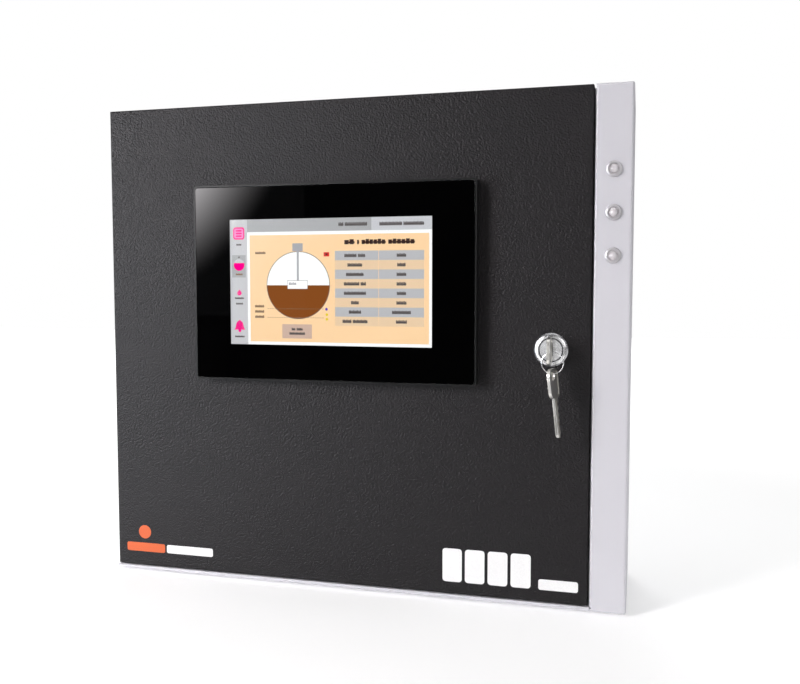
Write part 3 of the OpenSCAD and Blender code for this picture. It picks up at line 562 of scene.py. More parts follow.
class Picture:
    """The lit picture, as thin flat patches on the panel, one piece for each colour."""

    def __init__(self):
        self.patches = {}

    def patch(self, colour, outline, layer):
        back = PANEL_LOW.y - LAYER * layer
        self.patches.setdefault(colour, Piece()).prism(outline, "Y", back - LAYER, back)

    def area(self, colour, u0, v0, u1, v1, layer):
        (x0, z1), (x1, z0) = spot(u0, v0), spot(u1, v1)
        self.patch(colour, [(x0, z0), (x1, z0), (x1, z1), (x0, z1)], layer)

    def disc(self, colour, u, v, radius, layer, start=0.0, sweep=360.0, steps=72):
        x, z = spot(u, v)
        self.patch(colour, circle(x, z, radius, steps, start, sweep), layer)

    def words(self, colour, u, v, widths, height, layer, gap=0.006, stroke=0.0065):
        """A centred row of words, each a run of plain upright strokes that stand for its letters."""
        at = u - (sum(widths) + gap * (len(widths) - 1)) / 2
        for width in widths:
            count = max(1, round(width / stroke))
            pitch = width / count
            for k in range(count):
                rise = 0.5 * height * (0.84 + 0.16 * math.sin(2.4 * k + 40 * u))
                left = at + pitch * k
                self.area(colour, left, v - rise, left + 0.84 * pitch, v + 0.48 * height, layer)
                self.area(colour, left, v - 0.05 * height, left + pitch, v + 0.3 * height, layer + 1)
            at += width + gap

    def finish(self):
        for colour, piece in self.patches.items():
            material = lit("screen_" + colour, linear(*SCREEN_COLOURS[colour]), SCREEN_STRENGTH)
            piece.make("screen_" + colour, "screen", "door", material=material)


SCREEN_STRENGTH = 1.08
# sRGB steps
SCREEN_COLOURS = {
    "white": (255, 255, 255),
    "peach": (255, 214, 166),
    "sidebar": (200, 200, 204),
    "header": (170, 171, 174),
    "header_light": (201, 202, 207),
    "row_grey": (186, 186, 190),
    "row_peach": (235, 204, 168),
    "magenta": (255, 0, 138),
    "pink": (255, 148, 206),
    "brown": (131, 73, 31),
    "tank_edge": (120, 105, 98),
    "rod_grey": (168, 168, 174),
    "writing": (84, 78, 78),
    "soft_writing": (132, 106, 80),
    "title": (42, 14, 8),
    "red": (225, 30, 24),
    "dark_red": (90, 12, 10),
    "blue": (84, 60, 190),
    "yellow": (240, 214, 20),
    "button": (206, 176, 160),
}


def draw_sidebar(p):
    p.area("sidebar", 0.0, 0.0, 0.0900, 1.0, 1)
    p.area("header", 0.010, 0.283, 0.081, 0.462, 2)
    centre = 0.0466
    # List
    x, z = spot(centre, 0.110)
    p.patch("magenta", rounded(x - 4.4, z - 4.4, x + 4.4, z + 4.4, 1.8), 3)
    p.patch("pink", rounded(x - 3.5, z - 3.5, x + 3.5, z + 3.5, 1.2), 4)
    for row in (-1.9, 0, 1.9):
        p.patch("magenta", rounded(x - 2.3, z + row - 0.55, x + 2.3, z + row + 0.55, 0.5), 5)
    p.words("writing", centre, 0.2, [0.026], 0.014, 3)
    # Tank, half full
    p.disc("sidebar", centre, 0.362, 4.3, 3)
    p.disc("magenta", centre, 0.362, 4.2, 4, 160, 220)
    x, z = spot(centre, 0.300)
    p.patch("writing", circle(x, z, 0.6, 12), 4)
    p.words("soft_writing", centre, 0.437, [0.036], 0.016, 3)
    # Drop over a line
    x, z = spot(centre, 0.588)
    p.patch("magenta", [(x, z + 2.6), *circle(x, z, 1.7, 20, 160, 220)], 3)
    p.words("writing", centre, 0.6287, [0.046], 0.015, 3)
    p.words("writing", centre, 0.673, [0.036], 0.015, 3)
    # Bell
    x, z = spot(centre, 0.852)
    half = [(4.3, -2.8), (3.3, -1.4), (2.9, 0.6), (2.5, 2.0), (1.8, 3.0), (0.9, 3.5)]
    skirt = half + [(-a, b) for a, b in reversed(half)]
    p.patch("magenta", [(x + a, z + b) for a, b in skirt], 3)
    p.patch("magenta", circle(x, z + 3.4, 0.8, 16), 4)
    p.patch("magenta", circle(x, z - 3.5, 1.1, 16), 4)
    p.words("writing", centre, 0.938, [0.050], 0.015, 3)


def draw_tank(p):
    u, v, radius = 0.3487, 0.5245, 23.6
    p.disc("tank_edge", u, v, radius + 0.45, 2)
    p.disc("white", u, v, radius, 3)
    p.disc("brown", u, v, radius, 4, 180, 180)
    p.area("rod_grey", 0.3215, 0.194, 0.3735, 0.256, 3)
    p.area("rod_grey", 0.3434, 0.256, 0.3538, 0.50, 5)
    p.area("rod_grey", 0.2952, 0.486, 0.3973, 0.554, 6)
    p.area("white", 0.2973, 0.491, 0.3952, 0.551, 7)
    p.words("rod_grey", 0.3220, 0.512, [0.038], 0.022, 8)
    # Level marks, joined to their labels by dashes
    left, right, dashes = 0.193, 0.482, 24
    for row in (0.711, 0.781):
        for k in range(dashes):
            at = left + (right - left) * k / dashes
            p.area("soft_writing", at, row - 0.0022, at + 0.006, row + 0.0022, 5)
    p.words("soft_writing", 0.1580, 0.267, [0.053], 0.02, 2)
    for row in (0.692, 0.734, 0.776):
        p.words("soft_writing", 0.1510, row, [0.047], 0.021, 2)
    p.area("red", 0.4779, 0.266, 0.5052, 0.299, 2)
    p.area("dark_red", 0.4859, 0.276, 0.4972, 0.289, 3)
    p.disc("blue", 0.4904, 0.7126, 0.95, 2, steps=20)
    p.disc("yellow", 0.4924, 0.755, 0.95, 2, steps=20)
    p.disc("yellow", 0.4924, 0.791, 0.95, 2, steps=20)
    p.area("button", 0.2669, 0.834, 0.4169, 0.947, 2)
    p.words("writing", 0.3429, 0.873, [0.019, 0.031], 0.022, 3)
    p.words("writing", 0.3429, 0.907, [0.079], 0.022, 3)


def draw_table(p):
    left, middle, right = 0.5337, 0.7461, 0.9615
    top, row_h = 0.2565, 0.0732
    # Widths of the words in each row's two columns
    widths = [([0.06, 0.036], [0.045]), ([0.072], [0.04]), ([0.086], [0.046]), ([0.076, 0.026], [0.046]),
              ([0.108], [0.044]), ([0.038], [0.048]), ([0.06], [0.09]), ([0.044, 0.072], [0.052])]
    for row, (first, second) in enumerate(widths):
        v = top + row * row_h
        shade = "row_peach" if row % 2 else "row_grey"
        p.area(shade, left, v, middle - 0.001, v + row_h, 2)
        p.area(shade, middle + 0.001, v, right, v + row_h, 2)
        p.words("writing", 0.631, v + row_h / 2, first, 0.028, 3)
        p.words("writing", 0.855, v + row_h / 2, second, 0.028, 3)


def make_picture():
    p = Picture()
    p.area("white", 0.0, 0.0, 1.0, 1.0, 0)
    p.area("header", 0.0900, 0.0, 0.7113, 0.101, 1)
    p.area("header_light", 0.7113, 0.0, 1.0, 0.101, 1)
    p.words("writing", 0.6215, 0.05, [0.025, 0.109], 0.03, 2)
    p.words("writing", 0.8557, 0.052, [0.108, 0.097], 0.03, 2)
    p.area("peach", 0.1029, 0.127, 0.9852, 0.975, 1)
    p.words("title", 0.7495, 0.187, [0.050, 0.010, 0.116, 0.126], 0.040, 2, gap=0.012, stroke=0.021)
    draw_sidebar(p)
    draw_tank(p)
    draw_table(p)
    p.finish()


def make_glass():
    """A clear sheet with ground edges, black print behind its border and a glossy black coat in front."""
    x0, y0, z0 = GLASS_LOW
    x1, y1, z1 = GLASS_HIGH
    pane = Piece().prism(rounded(x0, z0, x1, z1, GLASS_CORNER_R, 8), "Y", y0, y1 - PRINT_T - LAYER)
    pane.make("cover_glass", "display_glass", "door", GLASS_BEVEL, replaces=["display_glass"],
              material=clear_glass())
    window = rounded(WINDOW_X, WINDOW_Z - WINDOW_H, WINDOW_X + WINDOW_W, WINDOW_Z, WINDOW_R, 3)
    for name, material, edge, low, high in (
            ("glass_print", None, PRINT_EDGE, y1 - PRINT_T - 2 * LAYER, y1 - 0.02),
            ("glass_coat", glossy_black(), GLASS_BEVEL, y0 - 0.01, y0 + 0.02)):
        outline = rounded(x0 + edge, z0 + edge, x1 - edge, z1 - edge, GLASS_CORNER_R - edge, 8)
        layer = Piece().prism(outline, "Y", low, high, [window])
        layer.make(name, "display_glass", "door", material=material)


make_picture()
make_glass()


# ---------- marks on the door ----------

DOOR_FACE_Y = box_mm("door_panel")[0].y
INK_T = 0.1
BLOCK_X, BLOCK_PITCH, BLOCK_W = 66.6, 16.0, 13.8


def ink(name, colour):
    """Screen-printed ink, a little worn into the paint's grain."""
    m = Nodes(name)
    grain = m.noise(2200, 2)
    m.colour(grain, tuple(0.86 * c for c in colour), colour, (0.25, 0.6))
    m.roughness(grain, 0.42, 0.58)
    m.bump(grain, 0.00005, 0.4)
    return m.material


def make_marks():
    """Plain shapes where a door like this carries its print."""
    def printed(piece, outline):
        piece.prism(outline, "Y", DOOR_FACE_Y - INK_T, DOOR_FACE_Y)

    orange = Piece()
    printed(orange, circle(-168.5, -145.8, 5.2, 40))
    printed(orange, rounded(-184.0, -161.2, -151.4, -154.4, 1.4, 4))
    orange.make("mark_orange", "door_paint", "door", material=ink("ink_orange", linear(214, 92, 30)))
    white = Piece()
    printed(white, rounded(-149.8, -161.0, -111.0, -154.6, 1.4, 4))
    for k in range(4):
        left = BLOCK_X + BLOCK_PITCH * k
        printed(white, rounded(left, -163.3, left + BLOCK_W, -139.6, 2.2, 4))
    printed(white, rounded(133.6, -163.4, 160.4, -156.0, 1.6, 4))
    white.make("mark_white", "door_paint", "door", material=ink("ink_white", linear(244, 244, 244)))


# ---------- keys, their ring and the lock's face ----------

LOCK_X, LOCK_Z = 140.6, 1.4
SHOULDER_Y = -98.8
BOW_L, BOW_W, BOW_R = 18.7, 18.2, 5
BOW_END, BOW_RIM_W, BOW_RECESS = 0.6, 1.5, 0.3
BLADE_START, BLADE_L, BLADE_W, BLADE_WEB_T = -0.4, 26.5, 6, 1.1
CUTS_AT = (3.5, 8, 12.5, 17)
GROOVE_LOW, GROOVE_HIGH = -1.6, 0.1
KEY_T, KEY_BEVEL = 2, 0.22
KEY_HOLE_IN, KEY_HOLE_R = 4.6, 2
RING_AT = Vector((143.2, -112.9, -5.949))
RING_R, RING_WIRE_R = 7, 0.6
SPLIT_WIRE_R, SPLIT_TURNS, SPLIT_STEPS = 0.33, 2, 96
SPARE_TURN, SPARE_LEAN = math.radians(-12), math.radians(-6.5)
LOCK_GAP_R, LOCK_BEAD_R = (7.55, 8.25), (9.3, 9.6, 9.9)


def key_piece():
    """A cut key lying along Y, bow towards -Y, with its shoulder at the origin."""
    half = KEY_T / 2
    plate_half = half - BOW_RECESS
    hole_at = -BOW_L + KEY_HOLE_IN
    bow = rounded(-BOW_L, -BOW_W / 2, BOW_END, BOW_W / 2, BOW_R, 8)
    hole = circle(hole_at, 0, KEY_HOLE_R, 24)
    key = Piece().prism(bow, "X", -plate_half, plate_half, [hole])
    inside_rim = rounded(-BOW_L + BOW_RIM_W, -BOW_W / 2 + BOW_RIM_W, BOW_END - BOW_RIM_W,
                         BOW_W / 2 - BOW_RIM_W, BOW_R - BOW_RIM_W, 8)
    for side in (-1, 1):
        faces = sorted((side * plate_half, side * half))
        key.prism(bow, "X", *faces, [inside_rim])
        key.prism(circle(hole_at, 0, KEY_HOLE_R + 1.2, 32), "X", *faces, [hole])
    top = BLADE_W / 2
    cuts = []
    for k, along in enumerate(CUTS_AT):
        floor = top - 1 - 0.3 * (k % 3)
        cuts += [(along, top), (along + 1.1, floor), (along + 1.9, floor), (along + 3.0, top)]
    cut_edge = [(BLADE_L, top - 3), (BLADE_L - 3, top), *reversed(cuts), (BLADE_START, top)]
    web = [(BLADE_START, -top), (BLADE_L - 2, -top), (BLADE_L, -top + 2), *cut_edge]
    back_rail = [(BLADE_START, -top), (BLADE_L - 2, -top), (BLADE_L - 0.4, GROOVE_LOW),
                 (BLADE_START, GROOVE_LOW)]
    front_rail = [(BLADE_START, GROOVE_HIGH), (BLADE_L, GROOVE_HIGH), *cut_edge]
    for outline, half_t in ((web, BLADE_WEB_T / 2), (back_rail, half), (front_rail, half)):
        key.prism(outline, "X", -half_t, half_t)
    return key


def make_keys():
    at_lock = Matrix.Translation((LOCK_X, SHOULDER_Y, LOCK_Z))
    key_piece().move(at_lock).make("key_in_lock", "key_nickel", "key", KEY_BEVEL, 3, ["lock_key"])
    # The spare key hangs by its bow from the lowest point of the ring
    lowest = RING_AT + Vector((0, 0, -RING_R))
    drop = KEY_HOLE_R - RING_WIRE_R - 0.2
    hung = (Matrix.Translation(lowest) @ Matrix.Rotation(SPARE_TURN, 4, "Z")
            @ Matrix.Rotation(SPARE_LEAN, 4, "Y") @ Matrix.Translation((0, 0, -drop))
            @ Matrix.Rotation(math.radians(-90), 4, "X") @ Matrix.Translation((0, BOW_L - KEY_HOLE_IN, 0)))
    key_piece().move(hung).make("key_spare", "key_nickel", "spare", KEY_BEVEL, 3, ["spare_key"])
    # Split ring: two turns of a thinner wire, side by side
    count = SPLIT_STEPS * SPLIT_TURNS
    route = []
    for k in range(count + 1):
        angle = math.radians(100) + 2 * math.pi * k / SPLIT_STEPS
        lean = (RING_WIRE_R - SPLIT_WIRE_R) * (2 * k / count - 1)
        route.append(RING_AT + Vector((RING_R * math.cos(angle), lean, RING_R * math.sin(angle))))
    ring = Piece().tube(route, SPLIT_WIRE_R, 10)
    ring.make("split_ring", "ring_wire", "ring", replaces=["key_ring"])


def make_lock_face():
    """A black ring as painted shade in the gap round the plug, and a raised bead round the lock's flange."""
    at = (LOCK_X, 0, LOCK_Z)
    face = box_mm("lock_barrel")[0].y
    inner, outer = LOCK_GAP_R
    gap = [(inner, face - 0.05), (outer, face - 0.05), (outer, face + 0.6), (inner, face + 0.6)]
    # Painted shade: a black ring stands in for the shadow down the gap round the plug
    shadow = Piece().lathe(gap, at, 64)
    shadow.make("lock_shadow_ring", "lock_metal", "door", material=MATERIALS["component_black"])
    inner, crest, outer = LOCK_BEAD_R
    bead = [(inner, face - 0.12), (crest, face - 0.25), (outer, face - 0.12), (outer, face + 0.3),
            (inner, face + 0.3)]
    Piece().lathe(bead, at, 72).make("lock_bead", "lock_metal", "door")


# ---------- what crosses the hinge ----------

LOOM = [
    (-127.9, -72, 30), (-138, -73, 30), (-144, -78, 25), (-146, -86, 12), (-146, -88, 0), (-146, -87, -12),
    (-146, -82, -28), (-146, -72, -44), (-146, -58, -58), (-146, -42, -68), (-146, -30, -80),
    (-146, -26, -92), (-146, -26, -104), (-146, -27, -120), (-141, -28, -136), (-128, -28, -145), (-108, -28, -148),
    (-80, -28, -148), (-50, -28, -147), (-28, -29, -144), (-18, -31, -136), (-16, -33, -127),
]
LOOM_R = 3.5
STRAP = [
    (-146, -89.4, -92), (-146, -89.4, -98), (-146, -88, -108), (-146.5, -80, -126), (-148, -66, -139),
    (-151, -50, -145), (-154, -34, -144), (-158, -20, -136), (-161, -12, -126), (-163, -8.8, -116),
    (-164, -7.9, -108), (-164.3, -7.7, -103),
]
STRAP_W, STRAP_T = 9, 1.4
LUG_R, LUG_HOLE_R, LUG_NECK_W, LUG_T = 5.4, 3.05, 6.8, 1.7


def make_loom():
    """A sleeved cable from the display to the terminals, with shrunk-on ends."""
    route = smooth_route(LOOM, 10)
    sleeve = Piece().tube(route, LOOM_R - 0.15, 20, rib=lambda i: 1.0 + 0.04 * (i % 2))
    piece = sleeve.make("loom_sleeve", "cable_black", replaces=["door_loom"], smooth=60)
    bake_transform(piece)
    for body, here, inward in (("door", LOOM[0], LOOM[1]), ("case", LOOM[-1], LOOM[-2])):
        way = (Vector(inward) - Vector(here)).normalized()
        shrink = Piece().tube([Vector(here) - 0.2 * way, Vector(here) + 7 * way], LOOM_R + 0.15, 24)
        shrink.make("loom_shrink_" + body, "cable_black", body, 0.3, material=MATERIALS["black_plastic"])


def make_strap():
    """A flat braid between the earth studs of the door and the case, with lugs."""
    route = smooth_route(STRAP, 12)
    strands = Piece().tube(route, STRAP_W / 2, 24, STRAP_T / STRAP_W, (1, 0, 0),
                           lambda i: 1.0 + 0.015 * (i % 2))
    piece = strands.make("strap_braid", "braid_copper", replaces=["earth_strap"], smooth=60)
    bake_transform(piece)
    for body, (x, y, z), end_z in (("door", (-146, -89.4, -86), -99.0),
                                   ("case", (-164.3, -7.7, -97), -107.0)):
        neck = [(x - LUG_NECK_W / 2, end_z), (x + LUG_NECK_W / 2, end_z)]
        lug = Piece().prism([*circle(x, z, LUG_R, 32, -35, 250), *neck], "Y", y - LUG_T / 2, y + LUG_T / 2,
                            [circle(x, z, LUG_HOLE_R, 24)])
        lug.make("strap_lug_" + body, "zinc_steel", body, 0.2, 2)


# ---------- on the rail ----------

RAIL_Z = -85
TERMINAL_X = [-41 + 6.2 * i for i in range(12)]
SUPPLY_X = [-118 + 12 * i for i in range(4)]
BREAKER_X = -66
SOCKET_X = [-81 + 60 * i + 5 * k for i in range(3) for k in range(9)]
SOCKET_Z = (13, 111)
SUPPLY_FACE_Y, BREAKER_FACE_Y, TERMINAL_FACE_Y = -74, -66, -52


def make_rail_labels():
    """Blank markers on the rail's modules, and the supply's lamp and adjuster."""
    markers = Piece()
    for x in TERMINAL_X:
        markers.prism(rounded(x - 2.3, RAIL_Z - 3.6, x + 2.3, RAIL_Z + 3.6, 0.5, 3), "Y",
                      TERMINAL_FACE_Y - 0.3, TERMINAL_FACE_Y)
    markers.prism(rounded(-117, -112, -83, -84, 1.5, 4), "Y", SUPPLY_FACE_Y - 0.15, SUPPLY_FACE_Y)
    markers.prism(rounded(-71.5, -107.5, -60.5, -102.0, 0.6, 3), "Y", BREAKER_FACE_Y - 0.2, BREAKER_FACE_Y)
    markers.make("rail_markers", "white_plastic", "case", 0.06, 1)
    y = SUPPLY_FACE_Y
    dome = [(0, y - 0.9), (0.8, y - 0.75), (1.3, y - 0.35), (1.4, y), (0, y)]
    lamp = Piece().lathe(dome, (-112, 0, -62), 24)
    lamp.make("supply_lamp", "terminal_green", "case")
    knob = [(0, y - 0.2), (1.1, y - 0.2), (1.1, y - 0.6), (2.4, y - 0.6), (2.5, y - 0.5), (2.5, y), (0, y)]
    adjuster = Piece().lathe(knob, (-103, 0, -62), 30)
    adjuster.make("supply_adjuster", "white_plastic", "case")


def screw_piece(piece, at, radius, turn):
    """A slotted screw head facing -Y: a half disc on each side of the slot, on a thinner disc."""
    x, y, z = at
    start = math.degrees(math.asin(0.16))
    for half in range(2):
        arc = circle(0, 0, radius, 20, start + 180 * half, 180 - 2 * start)
        turned = [(a * math.cos(turn) - b * math.sin(turn), a * math.sin(turn) + b * math.cos(turn))
                  for a, b in arc]
        piece.prism([(x + a, z + b) for a, b in turned], "Y", y, y + 0.9)
    piece.prism(circle(x, z, 0.94 * radius, 20), "Y", y + 0.6, y + 1.1)


def screws(piece, places_x, y, places_z, radius):
    """A screw at each crossing of places_x and places_z, each turned its own way."""
    for x in places_x:
        for z in places_z:
            screw_piece(piece, (x, y, z), radius, random.uniform(0, 3.1))


def make_terminal_screws():
    random.seed(11)
    rail = Piece()
    screws(rail, TERMINAL_X, -51.0, (RAIL_Z - 13, RAIL_Z + 13), 1.75)
    screws(rail, SUPPLY_X, -59.0, (RAIL_Z - 39.5, RAIL_Z + 39.5), 2.3)
    screws(rail, [BREAKER_X], -65.0, (RAIL_Z - 33, RAIL_Z + 33), 2.8)
    rail.make("rail_terminal_screws", "zinc_steel", "case", 0.08, 1)
    board = Piece()
    for z in SOCKET_Z:
        screws(board, SOCKET_X, -41.0, [z], 1.4)
    board.make("board_terminal_screws", "zinc_steel", "case", 0.06, 1)


# ---------- wiring inside the case ----------

WIRE_COLOURS = {"red": (0.50, 0.02, 0.015), "blue": (0.02, 0.06, 0.42), "black": (0.02, 0.02, 0.022),
                "white": (0.66, 0.66, 0.64), "earth": (0.36, 0.45, 0.02)}
TERMINAL_WIRE_COLOURS = ("white", "blue", "red", "black")
WIRE_R, TERMINAL_WIRE_R, LAMP_WIRE_R, MAINS_WIRE_R = 0.95, 0.85, 0.8, 1.15


def run_terminal_wires(run):
    """Wires from the loom's end to the terminals, and on to the board."""
    loom_x, loom_y, loom_z = LOOM[-1]
    for i, x in enumerate(TERMINAL_X):
        colour = TERMINAL_WIRE_COLOURS[i % 4]
        lean = 0.25 * math.cos(1.7 * i)
        root_x = loom_x + 1.9 * math.cos(2.6 * i)
        root_y = loom_y + 1.9 * math.sin(2.6 * i)
        run(colour, [(root_x, root_y, loom_z - 4), (root_x, root_y, loom_z + 2),
                     (0.6 * x + 0.4 * loom_x, -42, -117), (x, -49.5 + lean, -112), (x, -49, -107),
                     (x, -46, -106), (x, -42, -106)], TERMINAL_WIRE_R)
        up = SOCKET_X[9 + i]
        depth = -48 - 2.2 * (i % 3)
        run(colour, [(x, -42, -64), (x, -46, -64), (x, -50 + lean, -61), (x, depth, -50),
                     (0.7 * x + 0.3 * up, depth - 1, -34), (0.3 * x + 0.7 * up, depth + 2, -14),
                     (up, -40, -1), (up, -36, 5), (up, -35, 9)], TERMINAL_WIRE_R)


def run_supply_wires(run):
    """The supply's output up to the board, and its input from below the breaker."""
    for i, colour in enumerate(("red", "black")):
        x, up = SUPPLY_X[i], SOCKET_X[i]
        run(colour, [(x, -58, -45.5), (x, -63, -45.5), (x, -67, -42), (x + 1, -62, -31), (x + 12, -48, -18),
                     (up - 3, -41, -4), (up, -36, 4), (up, -35, 9)])
    z = -118
    for x0, x1, colour in ((BREAKER_X - 2, SUPPLY_X[3], "red"), (BREAKER_X + 2, SUPPLY_X[2], "blue")):
        run(colour, [(x0, -63, z), (x0, -69, z - 1), (x0 - 1, -72, z - 7), (0.5 * (x0 + x1), -71, z - 14),
                     (x1, -67, z - 11), (x1, -63, z - 7), (x1, -58, z - 6.5)], MAINS_WIRE_R)


def run_lamp_wires(run):
    """One pair for each lamp, along the top of the board to its right-hand terminals."""
    for i in range(3):
        lamp_low, lamp_high = box_mm(f"lamp_holder_{i + 1}")
        z = (lamp_low.z + lamp_high.z) / 2
        x = (lamp_low.x + lamp_high.x) / 2
        back = lamp_high.y
        for k, (side, colour) in enumerate(((-1, "white"), (1, "black"))):
            to_x = SOCKET_X[18 + 2 * i + k]
            away = 0.9 * side
            run(colour, [(x + away, back - 1.5, z), (x + away, back + 5, z), (x - 4 + away, back + 22, z + 3),
                         (168 + away, -34 - i, z + 0.4 * (128 - z)), (158, -28 + 0.8 * side, 126 + 1.6 * i),
                         (136, -26, 129 + 1.6 * i + 0.6 * side), (to_x + 8, -28, 129 + 1.6 * i + 0.6 * side),
                         (to_x, -33, 124), (to_x, -35, 119), (to_x, -35, 115)], LAMP_WIRE_R)


def make_wires():
    """The wires of each colour are one piece."""
    pieces = {name: Piece() for name in WIRE_COLOURS}

    def run(colour, points, radius=WIRE_R):
        pieces[colour].tube(smooth_route(points, 6), radius, 10)

    run_terminal_wires(run)
    run_supply_wires(run)
    run_lamp_wires(run)
    earth_x = SUPPLY_X[2]
    run("earth", [(-164.3, -9.5, -92), (-164.3, -9.5, -84), (-160, -14, -66), (-146, -20, -50),
                  (-126, -30, -38), (-98, -62, -36), (earth_x, -67, -42), (earth_x, -63, -45.5),
                  (earth_x, -58, -45.5)], MAINS_WIRE_R)
    for name, piece in pieces.items():
        material = plastic("wire_" + name, WIRE_COLOURS[name], 0.34, 2200, 0.00002, 0.1)
        piece.make("wires_" + name, "cable_black", "case", smooth=60, material=material)


# ---------- on the controller board ----------

BOARD_Y = -27.6
RELAY_X = [-95 + 22 * i for i in range(4)]
CAPACITOR_X = [-52 + 14 * i for i in range(3)]
# Left, bottom, right and top of each chip over its pins, and the body's height
CHIPS = ((10, 54, 34, 78, 1.6), (46, 58, 58, 74, 1.4))
PIN_PITCH, PIN_W, PIN_L, PIN_T = 0.8, 0.38, 1.7, 0.35
MODULE_Z = (24, 51, 78)
COIL_COLOUR, RELAY_COLOUR, SLEEVE_COLOUR = (0.75, 0.52, 0.05), (0.02, 0.12, 0.42), (0.015, 0.03, 0.10)
# Left, bottom, right and top of the places the larger components take
TAKEN = ((-100, 80, -10, 104), (-100, 26, -64, 56), (-60, 32, 0, 48), (7, 51, 61, 81), (72, 22, 98, 98))
CLEARANCE = 3


def make_relays():
    relays = Piece()
    front = BOARD_Y - 15
    for x in RELAY_X:
        relays.box((x, front, 82), (x + 15.5, BOARD_Y, 101))
        relays.box((x + 1.2, front - 0.25, 84), (x + 3.2, front, 99))
    relays.make("relays", "component_black", "case", 0.5, replaces=["board_parts"],
                material=plastic("relay_blue", RELAY_COLOUR, 0.3))


def make_chips():
    """Two chips with pins on all four sides, and three tall modules at the right."""
    chips = Piece()
    pins = Piece()
    for x0, z0, x1, z1, high in CHIPS:
        chips.box((x0 + 1.4, BOARD_Y - high, z0 + 1.4), (x1 - 1.4, BOARD_Y - 0.15, z1 - 1.4))
        for k in range(int((x1 - x0 - 4) / PIN_PITCH)):
            x = x0 + 2.2 + PIN_PITCH * k
            for low, high in ((z0, z0 + PIN_L), (z1 - PIN_L, z1)):
                pins.box((x, BOARD_Y - PIN_T, low), (x + PIN_W, BOARD_Y, high))
        for k in range(int((z1 - z0 - 4) / PIN_PITCH)):
            z = z0 + 2.2 + PIN_PITCH * k
            for low, high in ((x0, x0 + PIN_L), (x1 - PIN_L, x1)):
                pins.box((low, BOARD_Y - PIN_T, z), (high, BOARD_Y, z + PIN_W))
    for z in MODULE_Z:
        chips.box((74, BOARD_Y - 14, z), (96, BOARD_Y, z + 18))
    chips.make("chips", "component_black", "case", 0.3, 2, ["board_parts"])
    pins.make("chip_pins", "zinc_steel", "case")


def make_transformer():
    coil = Piece().box((-95, BOARD_Y - 19.4, 29), (-69, BOARD_Y - 2, 53))
    coil.make("transformer_tape", "component_black", "case", 1.2, 3, ["board_parts"],
              material=plastic("coil_tape", COIL_COLOUR, 0.28, 700))
    core = Piece()
    for x0, z0, x1, z1 in ((-98, 28, -66, 32), (-98, 50, -66, 54), (-98, 32, -95.5, 50),
                           (-68.5, 32, -66, 50)):
        core.box((x0, BOARD_Y - 15, z0), (x1, BOARD_Y - 3, z1))
    core.box((-96, BOARD_Y - 3, 29), (-68, BOARD_Y, 53))
    core.make("transformer_core", "component_black", "case", 0.4, replaces=["board_parts"],
              material=MATERIALS["black_plastic"])


def make_capacitors():
    """Sleeved cans, pinched near the board, with a bright top."""
    sleeve_profile = [(0, 0), (4.7, 0), (5.0, 0.5), (5.0, 1.6), (4.75, 2.1), (5.0, 2.6), (5.0, 16.5),
                      (4.7, 16.9), (4.2, 16.9), (4.2, 16.4), (0, 16.4)]
    top_profile = [(0, 16.3), (4.25, 16.3), (4.25, 16.6), (0, 16.6)]
    tops, sleeves = Piece(), Piece()
    for x in CAPACITOR_X:
        for piece, profile in ((sleeves, sleeve_profile), (tops, top_profile)):
            piece.lathe([(radius, BOARD_Y - high) for radius, high in profile], (x, 0, 40), 36)
    sleeves.make("capacitor_sleeves", "component_black", "case", replaces=["board_parts"],
                 material=plastic("sleeve_blue", SLEEVE_COLOUR, 0.22))
    tops.make("capacitor_tops", "zinc_steel", "case")


def make_small_components():
    """Small chips scattered over the board, clear of the larger components."""
    small = Piece()
    random.seed(4)
    for _ in range(90):
        x = random.uniform(-100, 104)
        z = random.uniform(22, 104)
        if any(x0 - CLEARANCE < x < x1 + CLEARANCE and z0 - CLEARANCE < z < z1 + CLEARANCE
               for x0, z0, x1, z1 in TAKEN):
            continue
        w, h = (2.0, 1.2) if random.random() < 0.5 else (1.2, 2.0)
        small.box((x - w / 2, BOARD_Y - 0.55, z - h / 2), (x + w / 2, BOARD_Y, z + h / 2))
    small.make("small_components", "component_black", "case", 0.1, 1, material=MATERIALS["white_plastic"])


make_marks()
make_rail_labels()
make_keys()
make_lock_face()
make_loom()
make_strap()
make_wires()
make_terminal_screws()
make_relays()
make_chips()
make_transformer()
make_capacitors()
make_small_components()


# ---------- light and surroundings ----------

WHITE = (1.0, 1.0, 1.0, 1.0)
WORLD_SEEN, WORLD_LIGHT = 1.0, 0.11
FLOOR_CORNERS = ((-4, -0.5), (4, -0.5), (4, 3), (-4, 3))
FLOOR_GAP = 0.001
# The floor glows more with distance, from the first value to the second, to meet the white behind it
GLOW_REACH, FLOOR_GLOW = (0.5, 2.5), (0.3, 1.0)
CARD_Y = -1.25
# Left, right, top, darkest and lightest grey, and glow
CARDS = {
    "flag": (-0.95, -0.06, 0.27, 0.004, 0.006, 0.0),
    "card": (-0.03, 0.30, 0.08, 0.80, 0.82, 1.0),
}
SOFTBOX_AT = (-0.92, -1.15, 0.48)
SOFTBOX_HALF = (0.48, 0.50)
SOFTBOX_TINT = (1.0, 0.965, 0.985, 1.0)
SOFTBOX_POWER, SOFTBOX_LIMIT = 120.0, 20.0
# Place, what it points at, size, and power in watts
LIGHTS = {
    "fill_right": ((1.5, -1.7, 0.9), (0, -0.1, 0), (1.4, 1.2), 13),
    "left_low": ((-1.35, -1.0, -0.02), (0, -0.1, -0.1), (0.5, 0.4), 20),
    "top": ((0.0, -0.2, 2.3), (0.0, -0.1, 0), (2.4, 2.4), 24),
    "back": ((-0.4, 1.9, 1.2), (0, 0, 0), (1.4, 1.4), 26),
}
SHEEN_TINT = (0.86, 0.93, 1.0)


